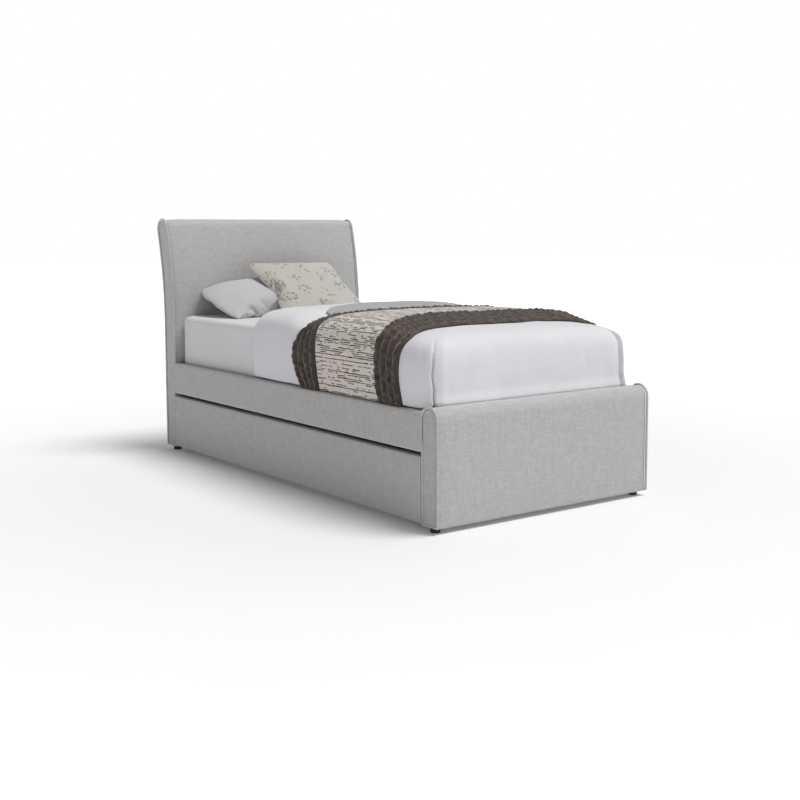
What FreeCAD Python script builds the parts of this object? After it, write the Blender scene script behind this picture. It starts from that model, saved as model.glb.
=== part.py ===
# Trundle bed: an upholstered single bed with a low guest bed that rolls out from under its left side.
# Millimetres. +Z is up, +Y runs from foot to head, and the guest bed rolls out towards -X.
# The origin is on the floor, at the centre of the bed's bounding box.
import FreeCAD, Part
import math
import os

os.makedirs("parts", exist_ok=True)

# ---- overall sizes -------------------------------------------------------------------------
bed_width = 1040.0
mattress_length = 1900.0
mattress_side_gap = 5.5     # play between the mattress and each side rail
mattress_thickness = 244.0
mattress_end_gap = 3.0
headboard_height = 1078.0
footboard_height = 432.0
floor_gap = 20.0            # underside of the head and foot boards above the floor
rail_bottom = 274.0         # underside of the side rails
rail_top = 416.0

# ---- head and foot boards ------------------------------------------------------------------
board_thickness = 85.0
curve_start = 600.0         # height where the headboard begins to lean back
curve_radius = 1710.0       # of the headboard's middle surface
cover_thickness = 2.0
board_foam = 12.0
face_board = 4.0
post_width = 60.0
cross_rail_height = 45.0
piping_size = 6.0
gusset_thickness = 3.4
gusset_recess = 2.0         # the end panel lies this far inside the piping's outer face
seam_gap = 0.3              # between neighbouring layers of one upholstered piece

# ---- side rails and the guest bed's front panel --------------------------------------------
rail_thickness = 32.0
rail_foam = 4.4
rail_edge_radius = 8.0
panel_bottom = 25.0
panel_top = 260.0
panel_end_gap = 4.0
panel_piping_size = 5.0

# ---- rail fastenings -----------------------------------------------------------------------
bracket_leg = 46.0
bracket_thickness = 3.0
bracket_bottom = 284.0
bracket_height = 74.0
bolt_radius = 4.0
bolt_head_radius = 7.0
bolt_head_height = 4.5
bolt_into_rail = 16.0
bolt_into_board = 46.0
bolt_inset = 24.0           # bolt axis from the bracket's corner
bolt_pitch = 44.0
bore_clearance = 0.15

# ---- slat bed of the upper bed -------------------------------------------------------------
ledge_top = 366.0
ledge_height = 34.0
ledge_depth = 30.0
ledge_end_gap = 6.0
ledge_screw_count = 6
sprung_slat_count = 14
sprung_slat_width = 53.0
sprung_slat_thickness = 8.0
sprung_slat_rise = 10.0
slat_end_margin = 48.0
cap_wall = 3.0
cap_length = 40.0
cap_gap = 1.0
rest_gap = 0.3              # between a soft piece and what it lies on

# ---- glides --------------------------------------------------------------------------------
glide_radius = 18.0
glide_edge_radius = 3.0
glide_pin_radius = 3.0
glide_pin_length = 38.0
glide_inset = 30.0          # glide axis from the end of its board

# ---- bedding -------------------------------------------------------------------------------
sheet_thickness = 1.5
duvet_top_thickness = 78.0
duvet_side_thickness = 19.0
duvet_head_edge = 690.0     # from the headboard's face to the duvet's upper edge
duvet_foot_lift = 3.0       # lower edge of the duvet's foot end above the footboard's top
throw_thickness = 8.0
throw_foot_edge = 200.0     # from the duvet's foot end to the throw's near edge
throw_band = 150.0
throw_centre = 388.0
cuff_width = 190.0
cuff_thickness = 6.0
cuff_near_end = 140.0       # the cuff's near end, in from the duvet's left side
pillow_width = 690.0
pillow_left = 430.0         # the pillow's left end from the bed's middle
pillow_front_height = 16.0
pillow_back_height = 180.0
pillow_heel = 60.0          # height of the chamfers along the pillow's back edges
cushion_size = 424.0
cushion_thickness = 84.0
cushion_tilt = 33.0
cushion_left = 160.0        # the cushion's left edge from the bed's middle
cushion_front = 424.0       # from the headboard's face to the cushion's lower edge

# ---- guest bed -----------------------------------------------------------------------------
guest_mattress_thickness = 145.0
guest_mattress_gap = 5.0
guest_rail_thickness = 18.0
guest_rail_bottom = 60.0
guest_rail_height = 70.0
guest_slat_top = 110.0
guest_slat_count = 11
guest_slat_width = 68.0
guest_slat_thickness = 12.0
guest_slat_margin = 60.0
guest_ledge_height = 20.0
guest_ledge_depth = 20.0
castor_block_size = 90.0
castor_block_thickness = 18.0
frame_screw_radius = 2.5
frame_screw_length = 50.0
frame_screw_head = 5.0

# ---- castors -------------------------------------------------------------------------------
wheel_radius = 25.0
wheel_width = 18.0
wheel_edge_radius = 3.0
wheel_recess_depth = 4.0
wheel_hub_radius = 8.0
wheel_rim = 6.0
axle_radius = 3.0
axle_clearance = 0.3
axle_head_radius = 5.0
axle_head_height = 2.0
castor_sheet = 2.5
castor_plate_length = 70.0
castor_plate_width = 56.0
cheek_gap = 21.0
cheek_top_width = 36.0
cheek_end_radius = 9.0
castor_screw_radius = 2.0
castor_screw_head = 4.0
castor_screw_length = 14.0
castor_screw_inset = 8.0

# ---- places that follow from the sizes -----------------------------------------------------
half_width = bed_width / 2
half_board = board_thickness / 2
inner_length = mattress_length + 2 * mattress_end_gap
base_length = inner_length + 2 * board_thickness
head_centre_height = headboard_height - half_board
lean_angle = math.asin((head_centre_height - curve_start) / curve_radius)
lean_back = curve_radius * (1 - math.cos(lean_angle))
foot_face = -(base_length + lean_back) / 2
foot_inner = foot_face + board_thickness
head_inner = foot_inner + inner_length
foot_middle = foot_face + half_board
head_middle = head_inner + half_board
rail_inner = half_width - rail_thickness
mattress_width = 2 * (rail_inner - mattress_side_gap)
cover_end = half_width - piping_size
board_layer = cover_thickness + seam_gap + board_foam + seam_gap
frame_layer = board_layer + face_board + seam_gap
post_outer = cover_end - seam_gap
post_bottom = floor_gap + board_layer
slat_crown = ledge_top + cap_wall + sprung_slat_thickness + sprung_slat_rise
mattress_bottom = slat_crown + rest_gap
mattress_top = mattress_bottom + mattress_thickness
sheet_top = mattress_top + rest_gap + sheet_thickness
sheet_side = mattress_width / 2 + rest_gap + sheet_thickness
mattress_foot = foot_inner + mattress_end_gap
mattress_head = head_inner - mattress_end_gap
duvet_inner_side = sheet_side + rest_gap
duvet_side = duvet_inner_side + duvet_side_thickness
duvet_underside = sheet_top + rest_gap
duvet_top = duvet_underside + duvet_top_thickness
duvet_inner_foot = mattress_foot - 2 * rest_gap - sheet_thickness
duvet_foot = duvet_inner_foot - duvet_side_thickness
duvet_head = head_inner - duvet_head_edge
bedding_bottom = rail_top + rest_gap
foot_drop_bottom = footboard_height + duvet_foot_lift
throw_foot = duvet_foot + throw_foot_edge
panel_foot = foot_inner + panel_end_gap
panel_head = head_inner - panel_end_gap
guest_left = -rail_inner
guest_back = guest_left + mattress_width + 2 * guest_mattress_gap
guest_ledge_top = guest_slat_top - guest_slat_thickness
block_bottom = guest_rail_bottom
block_top = block_bottom + castor_block_thickness
plate_bottom = block_bottom - castor_sheet
wheel_height = wheel_radius
castor_left = guest_left + castor_block_size / 2
castor_right = guest_back - castor_block_size / 2
castor_foot = panel_foot + guest_rail_thickness + castor_block_size / 2
castor_head = panel_head - guest_rail_thickness - castor_block_size / 2
X_AXIS = FreeCAD.Vector(1, 0, 0)
Y_AXIS = FreeCAD.Vector(0, 1, 0)
Z_AXIS = FreeCAD.Vector(0, 0, 1)


# ---- helpers -------------------------------------------------------------------------------
def block(low, high):
    """A box between two opposite corners."""
    size = [b - a for a, b in zip(low, high)]
    return Part.makeBox(*size, FreeCAD.Vector(*low))


def rod(radius, length, base, direction):
    """A cylinder from its base centre along a direction."""
    return Part.makeCylinder(radius, length, FreeCAD.Vector(*base), direction)


def cut_all(shape, tools):
    """The shape with every tool taken away."""
    for tool in tools:
        shape = shape.cut(tool)
    return shape


def save(node, *solids):
    """Write one node's solids to its own STEP file."""
    if len(solids) == 1:
        shape = solids[0]
    else:
        shape = Part.makeCompound(list(solids))
    shape.exportStep(os.path.join("parts", node + ".step"))


def spaced(count, low, high):
    """Even positions from low to high, both included."""
    step = (high - low) / (count - 1)
    return [low + i * step for i in range(count)]


def corners():
    """The signs of the four corners: left or right, foot or head."""
    return [(side, end) for side in (-1, 1) for end in (-1, 1)]


# ---- the head and foot boards --------------------------------------------------------------
class Board:
    """The side outline of a head or foot board: upright, then an arc that leans back, then a round top."""

    def __init__(self, middle, straight_top, lean):
        self.middle = middle
        self.straight_top = straight_top
        self.lean = lean

    def point(self, offset, angle):
        """A point on the surface that lies offset behind the middle surface."""
        radius = curve_radius - offset
        y = self.middle + curve_radius - radius * math.cos(angle)
        z = self.straight_top + radius * math.sin(angle)
        return FreeCAD.Vector(0, y, z)

    def side_edges(self, offset, bottom):
        """The line and the arc of one face, from its lower end up."""
        low = FreeCAD.Vector(0, self.middle + offset, bottom)
        edges = [Part.makeLine(low, self.point(offset, 0))]
        if self.lean > 0:
            points = [self.point(offset, share * self.lean) for share in (0, 0.5, 1)]
            edges.append(Part.Arc(*points).toShape())
        return edges

    def strip(self, front, back, bottom, left, right, round_top):
        """The solid between two offsets from the middle surface, from left to right."""
        edges = self.side_edges(front, bottom) + self.side_edges(back, bottom)
        start = self.point(front, self.lean)
        finish = self.point(back, self.lean)
        if round_top:
            middle = self.point((front + back) / 2, self.lean)
            along = FreeCAD.Vector(0, math.sin(self.lean), math.cos(self.lean))
            crest = middle + along * ((back - front) / 2)
            edges.append(Part.Arc(start, crest, finish).toShape())
        else:
            edges.append(Part.makeLine(start, finish))
        edges.append(Part.makeLine(
            FreeCAD.Vector(0, self.middle + front, bottom), FreeCAD.Vector(0, self.middle + back, bottom)))
        wire = Part.Wire(Part.__sortEdges__(edges))
        face = Part.Face(wire)
        face.translate(FreeCAD.Vector(left, 0, 0))
        return face.extrude(FreeCAD.Vector(right - left, 0, 0))

    def inset(self, depth, left, right, round_top=True):
        """The whole outline shrunk by a depth all round."""
        return self.strip(depth - half_board, half_board - depth, floor_gap + depth, left, right, round_top)


headboard = Board(head_middle, curve_start, lean_angle)
footboard = Board(foot_middle, footboard_height - half_board, 0.0)


def board_piping(board):
    """The cord along both end seams: a round-edged ring at each end."""
    rings = []
    for left in (-half_width, cover_end):
        ring = board.inset(0, left, left + piping_size)
        ring = ring.cut(board.inset(piping_size, left, left + piping_size))
        rings.append(ring)
    return rings


def board_gussets(board):
    """The flat end panels inside the piping."""
    outer = half_width - gusset_recess
    depth = piping_size + seam_gap
    left_end = board.inset(depth, -outer, -outer + gusset_thickness)
    right_end = board.inset(depth, outer - gusset_thickness, outer)
    return [left_end, right_end]


def board_cover(board):
    """The fabric round the front, top, back and underside."""
    outer = board.inset(0, -cover_end, cover_end)
    return outer.cut(board.inset(cover_thickness, -cover_end, cover_end))


def board_foam_wrap(board):
    """The foam under the cover, solid in the round top."""
    depth = cover_thickness + seam_gap
    outer = board.inset(depth, -cover_end, cover_end)
    inner = board.inset(depth + board_foam, -cover_end, cover_end, round_top=False)
    return outer.cut(inner)


def board_faces(board):
    """The thin boards on the front and the back of the timber frame."""
    front = board_layer - half_board
    back = half_board - board_layer
    near = board.strip(front, front + face_board, post_bottom, -post_outer, post_outer, False)
    far = board.strip(back - face_board, back, post_bottom, -post_outer, post_outer, False)
    return near, far


def board_posts(board):
    """The two timber posts, which follow the board's outline."""
    front = frame_layer - half_board
    posts = []
    for left in (-post_outer, post_outer - post_width):
        posts.append(board.strip(front, -front, post_bottom, left, left + post_width, False))
    return posts


def board_cross_rails(board, heights):
    """The timber rails between the posts, cut from the same outline."""
    front = frame_layer - half_board
    side = post_outer - post_width
    whole = board.strip(front, -front, post_bottom, -side, side, False)
    reach = curve_radius
    rails = []
    for height in heights:
        low = (-side, board.middle - reach, height)
        slab = block(low, (side, board.middle + reach, height + cross_rail_height))
        rails.append(whole.common(slab))
    return rails


# ---- brackets and bolts --------------------------------------------------------------------
def end_face(end):
    """Where the inner face of the foot board or the head board is."""
    return head_inner if end > 0 else foot_inner


def corner_bracket(side, end):
    """A steel angle in the corner between a side rail and a board."""
    x = side * rail_inner
    y = end_face(end)
    top = bracket_bottom + bracket_height
    rail_leg = block(
        (min(x, x - side * bracket_thickness), min(y, y - end * bracket_leg), bracket_bottom),
        (max(x, x - side * bracket_thickness), max(y, y - end * bracket_leg), top))
    board_leg = block(
        (min(x, x - side * bracket_leg), min(y, y - end * bracket_thickness), bracket_bottom),
        (max(x, x - side * bracket_leg), max(y, y - end * bracket_thickness), top))
    return rail_leg.fuse(board_leg).removeSplitter()


def bolt_heights():
    """The heights of the two bolts in each leg of a bracket."""
    middle = bracket_bottom + bracket_height / 2
    return [middle - bolt_pitch / 2, middle + bolt_pitch / 2]


def bolt_places():
    """The seat, direction and length of every bracket bolt."""
    places = []
    for side, end in corners():
        for height in bolt_heights():
            rail_seat = (side * (rail_inner - bracket_thickness), end_face(end) - end * bolt_inset, height)
            board_seat = (side * (rail_inner - bolt_inset), end_face(end) - end * bracket_thickness, height)
            places.append((rail_seat, X_AXIS * side, bolt_into_rail))
            places.append((board_seat, Y_AXIS * end, bolt_into_board))
    return places


def bolt(seat, direction, length):
    """A round-headed bolt whose head bears on the seat."""
    head_base = FreeCAD.Vector(*seat) - direction * bolt_head_height
    head = Part.makeCylinder(bolt_head_radius, bolt_head_height, head_base, direction)
    return head.fuse(rod(bolt_radius, length, seat, direction)).removeSplitter()


def bolt_bores():
    """What the bolts take out of everything that they pass through."""
    return [rod(bolt_radius + bore_clearance, length + bore_clearance, seat, direction)
            for seat, direction, length in bolt_places()]


# ---- glides --------------------------------------------------------------------------------
def glide_places():
    """The floor points under the ends of both boards."""
    return [(side * (half_width - glide_inset), middle, 0)
            for middle in (foot_middle, head_middle) for side in (-1, 1)]


def glide(place):
    """A round plastic foot with a pin that is driven up into the post."""
    foot = rod(glide_radius, floor_gap, place, Z_AXIS)
    rims = [e for e in foot.Edges if e.Curve.TypeId == "Part::GeomCircle"]
    foot = foot.makeFillet(glide_edge_radius, rims)
    pin = rod(glide_pin_radius, floor_gap + glide_pin_length, place, Z_AXIS)
    return foot.fuse(pin).removeSplitter()


def glide_bores():
    """The holes for the glide pins."""
    radius = glide_pin_radius + bore_clearance
    length = floor_gap + glide_pin_length + bore_clearance
    return [rod(radius, length, place, Z_AXIS) for place in glide_places()]


# ---- side rails and front panel ------------------------------------------------------------
def bar(left, right, foot, head, bottom, top, inset, radius):
    """A long bar with rounded long edges, shrunk by an inset on its four long sides."""
    solid = block((left + inset, foot, bottom + inset), (right - inset, head, top - inset))
    if radius <= inset:
        return solid
    long_edges = [e for e in solid.Edges if abs(e.tangentAt(e.FirstParameter).y) > 0.5]
    return solid.makeFillet(radius - inset, long_edges)


def padded_bar(left, foot, head, bottom, top):
    """A board in foam and fabric: its cover, its foam and its timber board."""
    right = left + rail_thickness
    foam_depth = cover_thickness + seam_gap
    core_depth = foam_depth + rail_foam + seam_gap
    outer = bar(left, right, foot, head, bottom, top, 0, rail_edge_radius)
    cover = outer.cut(bar(left, right, foot, head, bottom, top, cover_thickness, rail_edge_radius))
    foam = bar(left, right, foot, head, bottom, top, foam_depth, rail_edge_radius)
    foam = foam.cut(bar(left, right, foot, head, bottom, top, foam_depth + rail_foam, 0))
    core = bar(left, right, foot, head, bottom, top, core_depth, 0)
    return cover, foam, core


def panel_piping():
    """The cord along both ends of the guest bed's front panel."""
    cords = []
    right = guest_left
    left = right - rail_thickness
    for foot in (panel_foot, panel_head - panel_piping_size):
        head = foot + panel_piping_size
        ring = bar(left, right, foot, head, panel_bottom, panel_top, 0, rail_edge_radius)
        hole = bar(left, right, foot, head, panel_bottom, panel_top, panel_piping_size, rail_edge_radius)
        cords.append(ring.cut(hole))
    return cords


# ---- slat bed ------------------------------------------------------------------------------
def ledge(side):
    """The batten along a side rail that carries the slats."""
    gap = bracket_leg + ledge_end_gap
    x = sorted((side * rail_inner, side * (rail_inner - ledge_depth)))
    return block((x[0], foot_inner + gap, ledge_top - ledge_height), (x[1], head_inner - gap, ledge_top))


def ledge_screw_places(side):
    """The seats of the screws that hold a ledge to its rail."""
    margin = bracket_leg + 2 * bolt_inset
    height = ledge_top - ledge_height / 2
    return [(side * (rail_inner - ledge_depth), y, height)
            for y in spaced(ledge_screw_count, foot_inner + margin, head_inner - margin)]


def screw(seat, direction, radius, length, head_radius):
    """A pan-headed screw whose head bears on the seat."""
    head_height = head_radius / 2
    head_base = FreeCAD.Vector(*seat) - direction * head_height
    head = Part.makeCylinder(head_radius, head_height, head_base, direction)
    return head.fuse(rod(radius, length, seat, direction)).removeSplitter()


def screw_bore(seat, direction, radius, length):
    """The hole that a screw needs."""
    return rod(radius + bore_clearance, length + bore_clearance, seat, direction)


def bowed_strip(y, half_length, base, thickness):
    """A strip across the bed that rises in an arc to its middle."""
    low = y - sprung_slat_width / 2
    edges = []
    for height in (base, base + thickness):
        left = FreeCAD.Vector(-half_length, low, height)
        crown = FreeCAD.Vector(0, low, height + sprung_slat_rise)
        right = FreeCAD.Vector(half_length, low, height)
        edges.append(Part.Arc(left, crown, right).toShape())
    for x in (-half_length, half_length):
        edges.append(Part.makeLine(FreeCAD.Vector(x, low, base), FreeCAD.Vector(x, low, base + thickness)))
    face = Part.Face(Part.Wire(Part.__sortEdges__(edges)))
    return face.extrude(FreeCAD.Vector(0, sprung_slat_width, 0))


def slat_rows():
    """The middle lines of the sprung slats."""
    return spaced(sprung_slat_count, mattress_foot + slat_end_margin, mattress_head - slat_end_margin)


def sprung_slat(y):
    """One bowed slat, held in a cap at each end."""
    return bowed_strip(y, rail_inner - cap_gap - cap_wall, ledge_top + cap_wall, sprung_slat_thickness)


def slat_cap(y, side):
    """A plastic pocket on the ledge, with its slat's end cut out of it."""
    half = sprung_slat_width / 2 + cap_wall
    x = sorted((side * (rail_inner - cap_gap), side * (rail_inner - cap_gap - cap_length)))
    top = ledge_top + 2 * cap_wall + sprung_slat_thickness
    body = block((x[0], y - half, ledge_top), (x[1], y + half, top))
    pocket = bowed_strip(
        y, rail_inner - cap_gap - cap_wall + bore_clearance, ledge_top + cap_wall - bore_clearance,
        sprung_slat_thickness + 2 * bore_clearance)
    return body.cut(pocket)


# ---- bedding -------------------------------------------------------------------------------
def tunnel(foot, head, inner_side, outer_side, inner_top, outer_top):
    """A layer that lies over the top and hangs down both sides."""
    whole = block((-outer_side, foot, bedding_bottom), (outer_side, head, outer_top))
    return whole.cut(block((-inner_side, foot, bedding_bottom), (inner_side, head, inner_top)))


def fitted_sheet():
    """The sheet on the mattress: its top and its four sides."""
    layers = []
    for grow in (rest_gap + sheet_thickness, rest_gap):
        half = mattress_width / 2 + grow
        low = (-half, mattress_foot - grow, mattress_bottom)
        layers.append(block(low, (half, mattress_head + grow, mattress_top + grow)))
    return layers[0].cut(layers[1])


def duvet():
    """The duvet: its top, its two sides down to the rails and its foot end down to the footboard."""
    sides = tunnel(duvet_inner_foot, duvet_head, duvet_inner_side, duvet_side, duvet_underside, duvet_top)
    foot = block((-duvet_side, duvet_foot, foot_drop_bottom), (duvet_side, duvet_inner_foot, duvet_top))
    return sides.fuse(foot).removeSplitter()


def throw_piece(foot, length):
    """A length of the throw that lies over the duvet."""
    side = duvet_side + rest_gap
    top = duvet_top + rest_gap
    return tunnel(foot, foot + length, side, side + throw_thickness, top, top + throw_thickness)


def duvet_cuff():
    """The turned-back grey edge of the top sheet, a flat strip on the duvet beside the throw."""
    foot = throw_foot + 2 * throw_band + throw_centre + 2 * rest_gap
    bottom = duvet_top + rest_gap
    low = (-duvet_side + cuff_near_end, foot, bottom)
    return block(low, (duvet_side, foot + cuff_width, bottom + cuff_thickness))


def side_outline(points, left, right):
    """A solid across the bed from points in a side view."""
    corners_3d = [FreeCAD.Vector(left, y, z) for y, z in points]
    face = Part.Face(Part.makePolygon(corners_3d + corners_3d[:1]))
    return face.extrude(FreeCAD.Vector(right - left, 0, 0))


def under_cushion(height):
    """Where a plane just below the tilted cushion is this high above the sheet."""
    tilt = math.radians(cushion_tilt)
    depth = (cushion_thickness / 2 + rest_gap) / math.cos(tilt)
    return head_inner - cushion_front + (height + depth) / math.tan(tilt)


def pillow():
    """The sleeping pillow, propped against the headboard, with the cushion on its slope."""
    back = head_inner - 2 * rest_gap
    base = sheet_top + rest_gap
    front = under_cushion(pillow_front_height)
    points = [
        (front, base),
        (back - pillow_heel, base),
        (back, base + pillow_heel),
        (back, base + pillow_back_height - pillow_heel),
        (under_cushion(pillow_back_height), base + pillow_back_height),
        (front, base + pillow_front_height),
    ]
    return side_outline(points, -pillow_left, pillow_width - pillow_left)


def cushion():
    """The scatter cushion, a lens that leans on the pillow."""
    half = cushion_thickness / 2
    start = FreeCAD.Vector(0, 0, 0)
    finish = FreeCAD.Vector(0, cushion_size, 0)
    upper = Part.Arc(start, FreeCAD.Vector(0, cushion_size / 2, half), finish).toShape()
    lower = Part.Arc(start, FreeCAD.Vector(0, cushion_size / 2, -half), finish).toShape()
    lens = Part.Face(Part.Wire([upper, lower])).extrude(FreeCAD.Vector(cushion_size, 0, 0))
    lens.rotate(FreeCAD.Vector(0, 0, 0), X_AXIS, cushion_tilt)
    drop = lens.BoundBox.ZMin
    place = FreeCAD.Vector(-cushion_left, head_inner - cushion_front, sheet_top + rest_gap - drop)
    lens.translate(place)
    return lens


# ---- guest bed -----------------------------------------------------------------------------
def guest_end_rails():
    """The boards across the guest bed at its foot and its head."""
    top = guest_rail_bottom + guest_rail_height
    rails = []
    for foot in (panel_foot, panel_head - guest_rail_thickness):
        low = (guest_left, foot, guest_rail_bottom)
        rails.append(block(low, (guest_back, foot + guest_rail_thickness, top)))
    return rails


def guest_back_rail():
    """The board along the back of the guest bed."""
    low = (guest_back, panel_foot, guest_rail_bottom)
    return block(low, (guest_back + guest_rail_thickness, panel_head, guest_rail_bottom + guest_rail_height))


def guest_middle_rail():
    """The cross rail under the middle of the slats."""
    middle = (panel_foot + panel_head) / 2
    half = guest_rail_thickness / 2
    low = (guest_left + guest_ledge_depth, middle - half, guest_rail_bottom)
    return block(low, (guest_back - guest_ledge_depth, middle + half, guest_ledge_top))


def guest_ledges():
    """The battens that carry the guest bed's slats."""
    foot = panel_foot + guest_rail_thickness
    head = panel_head - guest_rail_thickness
    bottom = guest_ledge_top - guest_ledge_height
    ledges = []
    for left in (guest_left, guest_back - guest_ledge_depth):
        ledges.append(block((left, foot, bottom), (left + guest_ledge_depth, head, guest_ledge_top)))
    return ledges


def guest_slats():
    """The flat slats of the guest bed."""
    margin = guest_rail_thickness + guest_slat_margin
    slats = []
    for y in spaced(guest_slat_count, panel_foot + margin, panel_head - margin):
        half = guest_slat_width / 2
        low = (guest_left + cap_gap, y - half, guest_ledge_top)
        slats.append(block(low, (guest_back - cap_gap, y + half, guest_slat_top)))
    return slats


def guest_mattress():
    """The guest bed's mattress."""
    gap = guest_mattress_gap
    bottom = guest_slat_top + rest_gap
    low = (guest_left + gap, panel_foot + guest_rail_thickness + gap, bottom)
    high = (guest_back - gap, panel_head - guest_rail_thickness - gap, bottom + guest_mattress_thickness)
    return block(low, high)


def frame_screw_places():
    """The seats of the screws through the back rail into the cross rails."""
    seats = []
    inset = guest_rail_height / 4
    low = guest_rail_bottom + inset
    high = guest_rail_bottom + guest_rail_height - inset
    half = guest_rail_thickness / 2
    for y in (panel_foot + half, panel_head - half):
        for z in (low, high):
            seats.append((guest_back + guest_rail_thickness, y, z))
    return seats


def castor_places():
    """The middle of each castor on the floor, by name."""
    return {
        "foot_left": (castor_left, castor_foot),
        "head_left": (castor_left, castor_head),
        "foot_right": (castor_right, castor_foot),
        "head_right": (castor_right, castor_head),
    }


def castor_block(x, y):
    """The plywood pad that a castor is screwed to."""
    half = castor_block_size / 2
    return block((x - half, y - half, block_bottom), (x + half, y + half, block_top))


def castor_screw_places(x, y):
    """The seats of a castor's four screws."""
    dx = castor_plate_length / 2 - castor_screw_inset
    dy = castor_plate_width / 2 - castor_screw_inset
    return [(x + a * dx, y + b * dy, plate_bottom) for a, b in corners()]


def castor_cheek(x, y):
    """One side of the fork, tapering down to its round end at the axle."""
    half_top = cheek_top_width / 2
    points = [
        FreeCAD.Vector(x - half_top, y, plate_bottom),
        FreeCAD.Vector(x + half_top, y, plate_bottom),
        FreeCAD.Vector(x + cheek_end_radius, y, wheel_height),
        FreeCAD.Vector(x - cheek_end_radius, y, wheel_height),
    ]
    web = Part.Face(Part.makePolygon(points + points[:1])).extrude(Y_AXIS * castor_sheet)
    return web.fuse(rod(cheek_end_radius, castor_sheet, (x, y, wheel_height), Y_AXIS))


def castor_bracket(x, y):
    """The fixed fork: a plate and two cheeks, bored for the axle and the screws."""
    half_length = castor_plate_length / 2
    half_width_of_plate = castor_plate_width / 2
    plate = block(
        (x - half_length, y - half_width_of_plate, plate_bottom),
        (x + half_length, y + half_width_of_plate, block_bottom))
    fork = plate.fuse(castor_cheek(x, y - cheek_gap / 2 - castor_sheet))
    fork = fork.fuse(castor_cheek(x, y + cheek_gap / 2)).removeSplitter()
    reach = cheek_gap / 2 + castor_sheet
    bores = [rod(axle_radius + bore_clearance, 2 * reach, (x, y - reach, wheel_height), Y_AXIS)]
    for seat in castor_screw_places(x, y):
        bores.append(screw_bore(seat, Z_AXIS, castor_screw_radius, castor_screw_length))
    return cut_all(fork, bores)


def castor_axle(x, y):
    """The riveted pin through the fork and the wheel."""
    reach = cheek_gap / 2 + castor_sheet
    pin = rod(axle_radius, 2 * reach, (x, y - reach, wheel_height), Y_AXIS)
    near = rod(axle_head_radius, axle_head_height, (x, y - reach - axle_head_height, wheel_height), Y_AXIS)
    far = rod(axle_head_radius, axle_head_height, (x, y + reach, wheel_height), Y_AXIS)
    return pin.fuse(near).fuse(far).removeSplitter()


def castor_wheel(x, y):
    """A plastic wheel with a recess in each side."""
    half = wheel_width / 2
    wheel = rod(wheel_radius, wheel_width, (x, y - half, wheel_height), Y_AXIS)
    wheel = wheel.makeFillet(wheel_edge_radius, [e for e in wheel.Edges if e.Closed])
    ring_radius = wheel_radius - wheel_rim
    for low in (y - half, y + half - wheel_recess_depth):
        ring = rod(ring_radius, wheel_recess_depth, (x, low, wheel_height), Y_AXIS)
        hub = rod(wheel_hub_radius, wheel_recess_depth, (x, low, wheel_height), Y_AXIS)
        wheel = wheel.cut(ring.cut(hub))
    return wheel.cut(rod(axle_radius + axle_clearance, wheel_width, (x, y - half, wheel_height), Y_AXIS))


# ---- build ---------------------------------------------------------------------------------
def build_board(name, board, cross_rail_heights):
    """Write one upholstered board, layer by layer."""
    bores = bolt_bores() + glide_bores()
    near, far = board_faces(board)
    save(name + "_posts", *[cut_all(post, bores) for post in board_posts(board)])
    save(name + "_cross_rails", *board_cross_rails(board, cross_rail_heights))
    save(name + "_front_board", cut_all(near, bores))
    save(name + "_back_board", cut_all(far, bores))
    save(name + "_foam", cut_all(board_foam_wrap(board), bores))
    save(name + "_cover", cut_all(board_cover(board), bores))
    save(name + "_gussets", *board_gussets(board))
    save(name + "_piping", *board_piping(board))


def build_side_rails():
    """Write both side rails with their ledges, brackets and fasteners."""
    ledge_screws = []
    ledges = []
    length = ledge_depth + rail_thickness / 2
    radius = frame_screw_radius
    for side, name in ((-1, "left_rail"), (1, "right_rail")):
        left = -half_width if side < 0 else rail_inner
        cover, foam, core = padded_bar(left, foot_inner, head_inner, rail_bottom, rail_top)
        direction = X_AXIS * side
        seats = ledge_screw_places(side)
        bores = bolt_bores() + [screw_bore(seat, direction, radius, length) for seat in seats]
        save(name + "_cover", cut_all(cover, bores))
        save(name + "_foam", cut_all(foam, bores))
        save(name + "_board", cut_all(core, bores))
        ledges.append(cut_all(ledge(side), bores))
        ledge_screws += [screw(seat, direction, radius, length, frame_screw_head) for seat in seats]
    save("slat_ledges", *ledges)
    save("ledge_screws", *ledge_screws)
    save("corner_brackets", *[cut_all(corner_bracket(*corner), bolt_bores()) for corner in corners()])
    save("bracket_bolts", *[bolt(*place) for place in bolt_places()])


def build_slat_bed():
    """Write the sprung slats and their caps."""
    save("sprung_slats", *[sprung_slat(y) for y in slat_rows()])
    save("slat_caps", *[slat_cap(y, side) for y in slat_rows() for side in (-1, 1)])


def build_bedding():
    """Write the mattress and what lies on it."""
    half = mattress_width / 2
    save("main_mattress", block((-half, mattress_foot, mattress_bottom), (half, mattress_head, mattress_top)))
    save("fitted_sheet", fitted_sheet())
    save("duvet", duvet())
    save("duvet_cuff", duvet_cuff())
    save("throw_foot_band", throw_piece(throw_foot, throw_band))
    save("throw_centre", throw_piece(throw_foot + throw_band + rest_gap, throw_centre - rest_gap))
    save("throw_head_band", throw_piece(throw_foot + throw_band + throw_centre + rest_gap, throw_band))
    save("pillow", pillow())
    save("cushion", cushion())


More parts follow.
